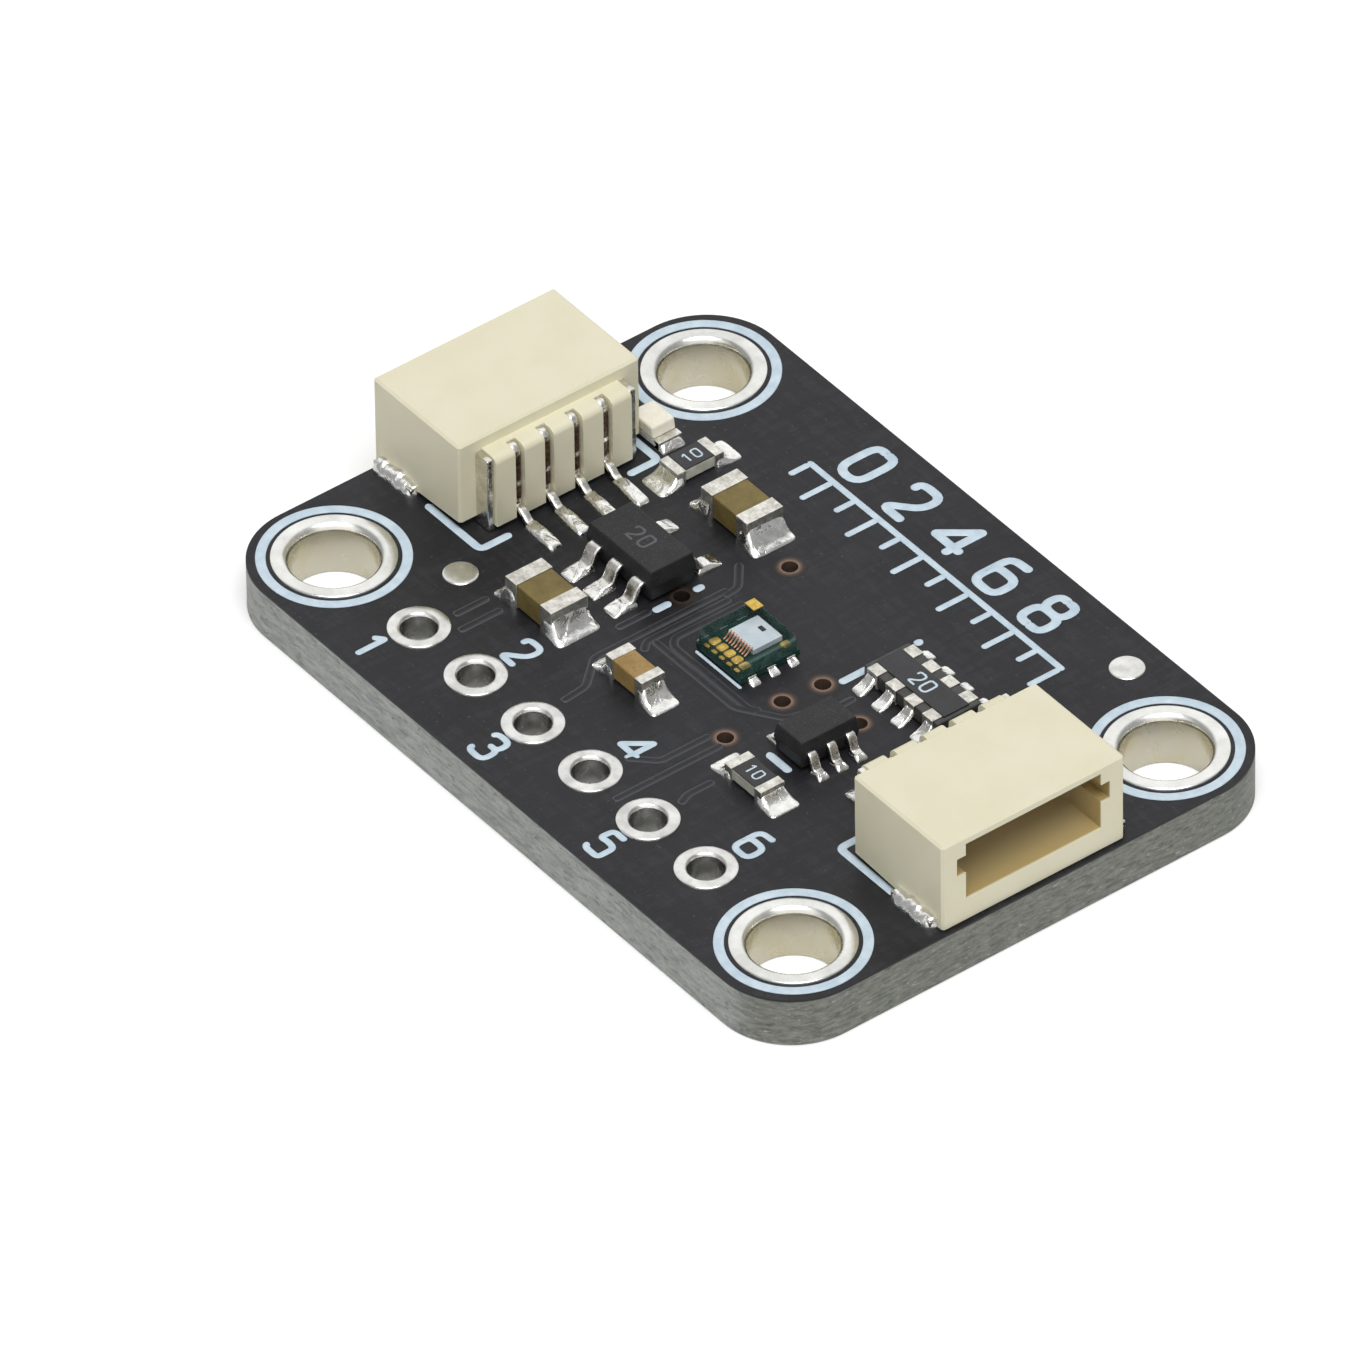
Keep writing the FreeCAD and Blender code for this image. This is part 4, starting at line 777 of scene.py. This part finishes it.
# %% Numbers and scale
DIGITS = {                      # how far a corner is rounded, and the strokes of each digit
    "0": (0.27, [[(0.04, 0.5), (-0.3, 0.5), (-0.3, -0.5), (0.3, -0.5), (0.3, 0.5), (-0.04, 0.5)]]),
    "1": (0.06, [[(-0.22, 0.26), (0.06, 0.5), (0.06, -0.5)]]),
    "2": (0.2, [[(-0.3, 0.22), (-0.3, 0.5), (0.3, 0.5), (0.3, 0.04), (-0.32, -0.5), (0.34, -0.5)]]),
    "3": (0.2, [[(-0.3, 0.3), (-0.26, 0.5), (0.28, 0.5), (0.28, 0.04), (-0.06, 0.04)],
                [(-0.06, 0.04), (0.32, 0.04), (0.32, -0.5), (-0.26, -0.5), (-0.32, -0.28)]]),
    "4": (0.04, [[(0.16, -0.5), (0.16, 0.5), (-0.42, -0.22), (0.4, -0.22)]]),
    "5": (0.12, [[(0.28, 0.5), (-0.24, 0.5), (-0.28, 0.06), (0.02, 0.12), (0.32, 0.06), (0.32, -0.5),
                  (-0.2, -0.5), (-0.32, -0.34)]]),
    "6": (0.2, [[(0.24, 0.5), (-0.32, 0.46), (-0.32, -0.5), (0.32, -0.5), (0.32, 0.1), (-0.3, 0.1),
                 (-0.32, -0.2)]]),
    "8": (0.2, [[(0.04, 0.5), (-0.27, 0.5), (-0.27, 0.04), (0.27, 0.04), (0.27, 0.5), (-0.04, 0.5)],
                [(0.04, -0.5), (-0.32, -0.5), (-0.32, 0.04), (0.32, 0.04), (0.32, -0.5), (-0.04, -0.5)]]),
}
PITCH = 0.95                    # from digit to digit, as a share of their height


def number(text, x, y, height, stroke, thick=INK_HIGH, turn=0.0, low=TOP):
    """Ribbons along the strokes of each digit, set in a row about (x, y) and turned by so many degrees."""
    angle, strokes = radians(turn), []
    for index, digit in enumerate(text):
        shift = (index - (len(text) - 1) / 2) * PITCH
        corner, paths = DIGITS[digit]
        for order, path in enumerate(paths):
            flat = (np.array(path) + (shift, 0)) * (height - stroke)
            spun = np.stack([flat[:, 0] * cos(angle) - flat[:, 1] * sin(angle),
                             flat[:, 0] * sin(angle) + flat[:, 1] * cos(angle)], -1)
            rise = thick * (1 + 0.03 * order)
            strokes.append(ribbon(spun + (x, y), stroke, rise, corner * height, low))
    return strokes


def block_of(node):
    """Lowest and highest corner of a node's box in millimetres, as arrays."""
    return tuple(np.array(corner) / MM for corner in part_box(node))


def top_of(node):
    """Height of a node's top face and the middle of its box in plan, in millimetres."""
    low, high = block_of(node)
    return high[2], *plan(low, high)[1]


LOW_ROW, HIGH_ROW = -7.85, -4.8             # y of the pin numbers below and above their holes
SCALE_ZERO, SCALE_LINE = -4.2, 6.2          # x of the scale's zero, and y of its long line
LONG_MARK, SHORT_MARK = 5.05, 5.45          # y at which its marks end
pins = [("1", -6.6, LOW_ROW), ("2", -3.81, HIGH_ROW), ("3", -1.25, LOW_ROW), ("4", 1.27, HIGH_ROW),
        ("5", 3.85, LOW_ROW), ("6", 6.4, HIGH_ROW + 0.05)]
strokes = [stroke for text, x, y in pins for stroke in number(text, x, y, 1.2, 0.2)]
mesh_piece("pin_numbers", joined(strokes), INK, sharp=60)
strokes = [stroke for step in range(0, 10, 2)
           for stroke in number(str(step), step + SCALE_ZERO, SCALE_LINE + 1.16, 1.7, 0.28)]
for step in range(-1, 11):
    x, end = step + SCALE_ZERO, SHORT_MARK if step % 2 else LONG_MARK
    strokes.append(ribbon([(x, SCALE_LINE - 0.05), (x, end)], 0.2, INK_HIGH))
strokes.append(ribbon([(SCALE_ZERO - 1.1, SCALE_LINE), (SCALE_ZERO + 10.1, SCALE_LINE)], 0.2, INK_HIGH * 0.8))
mesh_piece("scale_print", joined(strokes), INK, sharp=60)
sensor_line = ribbon([(-0.91, -1.08), (1.09, -1.08)], 0.1, INK_HIGH)
mesh_piece("sensor_line_print", sensor_line, INK)
for name, node, text, height, turn, material in (
        ("interrupt_resistor_number", "interrupt_resistor_coat", "10", 0.42, 0, INK),
        ("lamp_resistor_number", "lamp_resistor_coat", "10", 0.42, 90, INK),
        ("array_number", "resistor_array_coat", "20", 0.56, 0, INK),
        ("regulator_number", "regulator_body", "20", 0.6, 0, MARKED)):
    top, x, y = top_of(node)
    strokes = number(text, x, y, height, 0.15 * height, 0.004, turn, top - 0.002)
    mesh_piece(name, joined(strokes), material, sharp=60)

# %% [markdown]
# ## Chips and small parts
# Moulded bodies have small radii from their moulds, stamped leads have rolled edges, and fired parts are
# tumbled before they are plated, which rounds them most. Each is a copy of its solid with its own radius.

# %% Chips and small parts
softened("regulator_case", ["regulator_body"], MOULDED, 0.05)
softened("shifter_case", ["level_shifter_body"], MOULDED, 0.045)
for name, material, slot in (("input_capacitor", OLIVE, "olive_ceramic"),
                             ("output_capacitor", OLIVE, "olive_ceramic"),
                             ("sensor_capacitor", AMBER, "amber_ceramic"),
                             ("interrupt_resistor", ALUMINA, "white_ceramic"),
                             ("lamp_resistor", ALUMINA, "white_ceramic"),
                             ("resistor_array", SHADED_ALUMINA, "white_ceramic")):
    softened(f"{name}_block", [f"{name}_body"], material, 0.05)
    softened(f"{name}_ends", [f"{name}_terminals"], END_TIN, 0.06, 3)
for name in ("interrupt_resistor", "lamp_resistor", "resistor_array"):
    softened(f"{name}_glaze", [f"{name}_coat"], GLAZE, 0.02)
softened("lamp_foot", ["power_lamp_base"], ALUMINA, 0.03)
softened("lamp_dome", ["power_lamp_lens"], LAMP_BODY, 0.07, 3)
softened("lamp_ends", ["power_lamp_terminals"], END_TIN, 0.03)

# %% [markdown]
# ## Bent leads
# A chip's leads are stamped from sheet and bent twice: out of the body they run level for a moment, then
# they swing down and level out again into a foot. Sheet that is bent over a tool has round shoulders, which
# catch the light. Each lead is a rounded cross-section carried along such a path, in the place of its solid.

# %% Leads
def strip(path, side, width, thickness, count=16):
    """Section (w / 2 * c ** p, t / 2 * s ** p) on the axes (side, side x tangent) at each path point."""
    path, side = np.array(path, dtype=float), np.array(side, dtype=float)
    tangent = np.gradient(path, axis=0)
    tangent /= np.linalg.norm(tangent, axis=1)[:, None]
    normal = np.cross(side, tangent)
    c, s = (squared_up(part, 0.4) for part in around(count))
    a, b = width / 2 * c, thickness / 2 * s
    size = np.concatenate([[0, 0.8], np.ones(len(path) - 2), [0.8, 0]])[:, None, None]
    path = np.concatenate([path[:1], path, path[-1:]])
    normal = np.concatenate([normal[:1], normal, normal[-1:]])
    across = a[None, :, None] * side + b[None, :, None] * normal[:, None]
    return (path[:, None] + across * size).reshape(-1, 3), grid_faces(len(path), count)


def bent_lead(low, high, body_middle, axis, foot, thickness):
    """Level, down in a curve, level: the corners of the path are rounded where the sheet was bent."""
    outward = 1 if (low[axis] + high[axis]) / 2 > body_middle else -1
    root, tip = (low[axis], high[axis]) if outward > 0 else (high[axis], low[axis])
    upper, lower = high[2] - thickness / 2, low[2] + thickness / 2
    flat = round_path([(root, upper), (tip - outward * foot * 1.6, upper), (tip - outward * foot, lower),
                       (tip, lower)], 0.2, count=9)
    path = np.zeros((len(flat), 3))
    path[:, axis], path[:, 2] = flat[:, 0], flat[:, 1]
    path[:, 1 - axis] = (low[1 - axis] + high[1 - axis]) / 2
    side = np.eye(3)[1 - axis]
    return strip(path, side, (high[1 - axis] - low[1 - axis]) * 1.12, thickness)


for name, node, body, axis, foot, thickness in (
        ("regulator_pins", "regulator_leads", "regulator_body", 1, 0.36, 0.16),
        ("shifter_pins", "level_shifter_leads", "level_shifter_body", 0, 0.24, 0.15)):
    middle = top_of(body)[1 + axis]
    leads = [bent_lead(low, high, middle, axis, foot, thickness) for low, high in islands(node)]
    mesh_piece(name, joined(leads), LEAD_TIN, [node], sharp=50)

# %% [markdown]
# ## Sockets
# Each socket is one ivory moulding with stamped contacts pressed in from the back, and a plate at each end
# that is soldered down to hold it. The moulding's solid has all its openings, ribs and slots, so a copy with
# rounded edges is enough. A contact is bent over tools like a chip's lead, so it's a strip along a path too:
# from the tip of the tail up a slope, into the slot, up to the bend and in over the roof of the slot. A
# second, straight strip is the pin that the plug goes over.

# %% Sockets and contacts
TAIL = 0.9                      # from the tip of a contact's tail to the back of its socket


def contact(low, high):
    """Two paths of (distance in from the socket's back, height over the board), set beside the board's x."""
    inward = 1 if low[0] > 0 else -1
    back = low[0] + TAIL if inward > 0 else high[0] - TAIL
    bent = round_path([(-0.88, 0.12), (-0.36, 0.12), (-0.04, 0.4), (0.21, 0.42), (0.21, 2.41),
                       (0.88, 2.41)], 0.17)
    pin = np.array([(0.25, 1.6), (0.6, 1.6), (3.2, 1.6), (3.29, 1.6)])
    pieces = []
    for path, thickness in ((bent, 0.17), (pin, 0.29)):
        placed = np.column_stack([back + inward * path[:, 0], np.full(len(path), (low[1] + high[1]) / 2),
                                  TOP + path[:, 1]])
        pieces.append(strip(placed, (0, 1, 0), high[1] - low[1], thickness))
    return joined(pieces)


for side in ("left", "right"):
    socket = f"{side}_socket"
    softened(f"{side}_moulding", [f"{socket}_shell"], IVORY, 0.05, 3)
    nodes = [f"{socket}_contact_{n}" for n in (1, 2, 3, 4)]
    mesh_piece(f"{side}_contacts", joined([contact(*block_of(node)) for node in nodes]), CONTACT,
               nodes, sharp=50)
    softened(f"{side}_plates", [f"{socket}_plate_near", f"{socket}_plate_far"], CONTACT_TIN,
             0.04)

# %% [markdown]
# ## Light sensor
# Under the clear block lie the silver chip, a row of gold pads and, in one corner, a square that marks the
# first terminal. Fine wires run from the chip's edge to the pads. The block stands on a dark green carrier.
# The resin has round shoulders where the cast skin was kept, so the block is a stack of rounded outlines:
# each level is a little smaller than the one below, by a quarter circle.

# %% Light sensor
def rounded_block(low, high, corner, shoulder, count=6):
    """Outlines inset by s * (1 - cos a) at height top - s * (1 - sin a), and closed above and below."""
    half, centre = plan(low, high)
    angle = np.linspace(0, pi / 2, count)
    insets = np.concatenate([[0], shoulder * (1 - np.cos(angle))])
    heights = np.concatenate([[low[2]], high[2] - shoulder * (1 - np.sin(angle))])
    rows = []
    for inset, height in zip(insets, heights):
        flat = rounded_outline((half[0] - inset, half[1] - inset), max(corner - inset, 0.01), 8) + centre
        rows.append(np.column_stack([flat, np.full(len(flat), height)]))
    middle = np.array([*centre, 0])
    caps = [np.tile(middle + (0, 0, height), (len(rows[0]), 1)) for height in (low[2], high[2])]
    points = np.concatenate([caps[0], *rows, caps[1]])
    return points, grid_faces(len(rows) + 2, len(rows[0]))


softened("sensor_carrier", ["light_sensor_substrate"], CARRIER, 0.006)
low, high = block_of("light_sensor_window")
mesh_piece("sensor_block", rounded_block(low, high, 0.2, 0.16, count=10), RESIN,
           ["light_sensor_window"], sharp=60)
softened("sensor_die", ["light_sensor_chip"], SILICON, 0.015)
EDGE = np.array([0.03, 0.04, 0])            # how far a pad reaches past its solid
EYE_HALF = np.array([0.12, 0.07])
pads = []
for low, high in islands("light_sensor_bond_pads"):
    pads.append(rounded_block(low - EDGE, high + EDGE + (0, 0, 0.03), 0.1, 0.03, count=4))
    if high[1] < 0:
        foot = np.array([(low[0] + high[0]) / 2, low[1] - 0.14, low[2]])
        pads.append(rounded_block(foot - (0.1, 0.06, 0), foot + (0.1, 0.06, 0.04), 0.05, 0.01, count=3))
mesh_piece("sensor_pads", joined(pads), GOLD, ["light_sensor_bond_pads"])
softened("sensor_index", ["light_sensor_index_pad"], GOLD, 0.01)
softened("sensor_ends", ["light_sensor_terminals"], LEAD_TIN, 0.03)
low, high = block_of("light_sensor_chip")
spot = np.array([(low[0] + high[0]) / 2 - 0.02, high[1] - 0.26])
eye = rounded_block(np.array([*(spot - EYE_HALF), high[2] - 0.01]),
                    np.array([*(spot + EYE_HALF), high[2] + 0.006]), 0.02, 0.004)
mesh_piece("sensor_eye", eye, DARK)
wires = []
for step in np.linspace(-0.46, 0.46, 9):
    x = (low[0] + high[0]) / 2 + step
    run = [(x, low[1] + 0.05, high[2] + 0.015), (x + 0.01, low[1] - 0.04, high[2] + 0.02),
           (x + 0.02, low[1] - 0.16, low[2] + 0.08), (x + 0.03, low[1] - 0.26, low[2] + 0.05)]
    wires.append(strip(round_path(run, 0.06), (1, 0, 0), 0.055, 0.03, count=8))
mesh_piece("bond_wires", joined(wires), WIRE)

# %% [markdown]
# ## Solder
# Molten solder wets a land to its edge and climbs the metal that stands on it, so its surface is a small
# hill that is highest at the metal and falls away in a hollow curve. Every joint has its own solid in the
# frame, which gives its land and its height, and the terminals' solids say where the metal is.

# %% Solder joints
def solder_hill(low, high, metals, rng, fall, base):
    """Height = (1 - r ** 6) ** 0.5 * (base + rise * exp(-d / fall)), d being the distance to metal.

    The plan is a superellipse: cosine and sine to the power 0.3. The last row lies flat in the middle.
    """
    r = np.sin(np.linspace(0, pi / 2, 15))[:, None]
    angle = np.linspace(0, 2 * pi, 56, endpoint=False)[None]
    half, centre = plan(low, high)
    x = centre[0] + half[0] * r * squared_up(np.cos(angle), 0.3)
    y = centre[1] + half[1] * r * squared_up(np.sin(angle), 0.3)
    d = np.min([np.hypot(np.maximum(np.maximum(a[0] - x, x - b[0]), 0),
                         np.maximum(np.maximum(a[1] - y, y - b[1]), 0)) for a, b in metals], axis=0)
    wave = 0.07 * np.sin(2 * angle + rng.uniform(0, 6)) + 0.05 * np.sin(5 * angle + rng.uniform(0, 6))
    wave = 1 + wave * r
    z = TOP + np.sqrt(1 - r ** 6) * wave * (base + (high[2] - TOP - base) * 0.85 * np.exp(-d / fall))
    points = np.stack([x, y, z], -1)
    floor = np.stack([x[:1], y[:1], np.full_like(x[:1], TOP)], -1)
    return np.concatenate([points, floor]).reshape(-1, 3), grid_faces(16, 56)


FOOT_HIGH = 0.42                # of the solder over a hold-down plate's foot
FOOT_LONG = 1.5                 # a socket's land that is longer than this holds such a foot
SLIVER = 0.1                    # solder that starts so far over the board is a sliver and is left out


def foot_hill(low, high, rng):
    """Height = h * (1 - |v| ** 2.4) ** 0.5 * e and width = w * e, with e = (1 - |u| ** 6) ** 0.5.

    u goes along the foot and v across it, both from -1 to 1, and the height has a wave along u. The crest
    follows the side of the moulding, so half of the hill hides under it. The other half holds the foot.
    """
    u = np.sin(np.linspace(-pi / 2, pi / 2, 41))[:, None]
    v = np.sin(np.linspace(-pi / 2, pi / 2, 21))[None]
    crest = low[1] if low[1] > 0 else high[1]
    end = np.sqrt(1 - np.abs(u) ** 6)
    x = (low[0] + high[0]) / 2 + (high[0] - low[0]) * 0.54 * u + 0 * v
    y = crest + (high[1] - low[1]) * v * end
    wave = 1 + 0.1 * np.sin(7 * u + rng.uniform(0, 6)) + 0.05 * np.sin(17 * u + rng.uniform(0, 6))
    z = TOP + FOOT_HIGH * wave * end * np.sqrt(1 - np.abs(v) ** 2.4)
    under = TOP - 0.01 * (1 - u ** 2) * (1 - v ** 2)
    points = np.concatenate([np.stack([x, y, z], -1), np.stack([x, y, under], -1)[:, ::-1]], 1)
    return points.reshape(-1, 3), grid_faces(41, 42)


rng = np.random.default_rng(7)
for name, node, owners, fall, base in (
        ("chip_joints", "chip_solder", ["input_capacitor_terminals", "output_capacitor_terminals",
                                        "sensor_capacitor_terminals", "interrupt_resistor_terminals",
                                        "lamp_resistor_terminals", "power_lamp_terminals"], 0.16, 0.05),
        ("array_joints", "resistor_array_solder", ["resistor_array_terminals"], 0.2, 0.05),
        ("regulator_joints", "regulator_solder", ["regulator_leads"], 0.2, 0.05),
        ("shifter_joints", "level_shifter_solder", ["level_shifter_leads"], 0.15, 0.05),
        ("sensor_joints", "light_sensor_solder", ["light_sensor_terminals"], 0.12, 0.05),
        *((f"{side}_joints", f"{side}_socket_solder",
           [f"{side}_socket_{part}" for part in ("contact_1", "contact_2", "contact_3", "contact_4",
                                                 "plate_near", "plate_far")], 0.25, 0.13)
          for side in ("left", "right"))):
    metals = islands(*owners)
    lands = [(low, high) for low, high in islands(node) if low[2] < TOP + SLIVER]
    hills = [foot_hill(low, high, rng) if "socket" in node and high[0] - low[0] > FOOT_LONG
             else solder_hill(low, high, metals, rng, fall, base) for low, high in lands]
    mesh_piece(name, joined(hills), SOLDER, [node], sharp=60)

# %% [markdown]
# ## Floor and light
# The module lies on plain white paper under a wide, soft lamp that leans to the right. The sky is even and
# grey for the light that it gives, and white where the camera looks straight at it. Metal needs something to
# mirror, so glosses see two white panels, one behind the module and one in front, with dusk between them.
# The paper gets a little glow for the camera alone, which makes it white and keeps the module's shadow.

# %% Floor and light
paper, put, where = blank("white paper")
seen = put("ray")["Is Camera Ray"]
put("output", put(
    "coat",
    Base_Color=put("mix", put("noise", where, patches(3.0)), "#e6e6e6", "#e9e9e9"),
    Roughness=0.9,
    Specular_IOR_Level=0.0,
    Emission_Color="#ffffff",
    Emission_Strength=put("ramp", seen, 0, 0.3, 0, 1)))
HALF_SHEET = 3.0                # in metres
corners = [(x * HALF_SHEET, y * HALF_SHEET, 0) for x, y in ((-1, -1), (1, -1), (1, 1), (-1, 1))]
floor_mesh = bpy.data.meshes.new("paper")
floor_mesh.from_pydata(corners, [], [(0, 1, 2, 3)])
floor_mesh.materials.append(paper)
floor = bpy.data.objects.new("paper", floor_mesh)
bpy.context.scene.collection.objects.link(floor)

world = bpy.data.worlds.new("studio")
bpy.context.scene.world = world
world.use_nodes = True
world.node_tree.nodes.clear()
put = partial(add, world.node_tree)
path = put("ray")
way = put("where")["Generated"]
PANELS = ((-0.606, 0.459, 0.649), (0.62, -0.62, 0.48))      # directions to the panels' middles
SKY, DUSK, PANEL = 0.42, 0.38, 1.1          # strengths: for dull surfaces, and for glosses off and on a panel
panels = [put("ramp", put("dot", way, towards), DUSK, PANEL, 0.58, 0.82) for towards in PANELS]
seen = put("larger", path["Is Camera Ray"], path["Is Transmission Ray"])
strength = put("ramp", path["Is Glossy Ray"], SKY, put("larger", *panels), 0, 1)
sky = put("sky", (1, 1, 1, 1), put("ramp", seen, strength, 1, 0, 1))
put("sky output", sky)

lamp = bpy.data.objects.new("soft lamp", bpy.data.lights.new("soft lamp", "SUN"))
lamp.data.energy = 1.9
lamp.data.angle = radians(38)
toward = Vector((0.34, -0.18, 1.0)).normalized()
lamp.rotation_mode = "QUATERNION"
lamp.rotation_quaternion = toward.to_track_quat("Z", "Y")
bpy.context.scene.collection.objects.link(lamp)
print("floor and light ready")
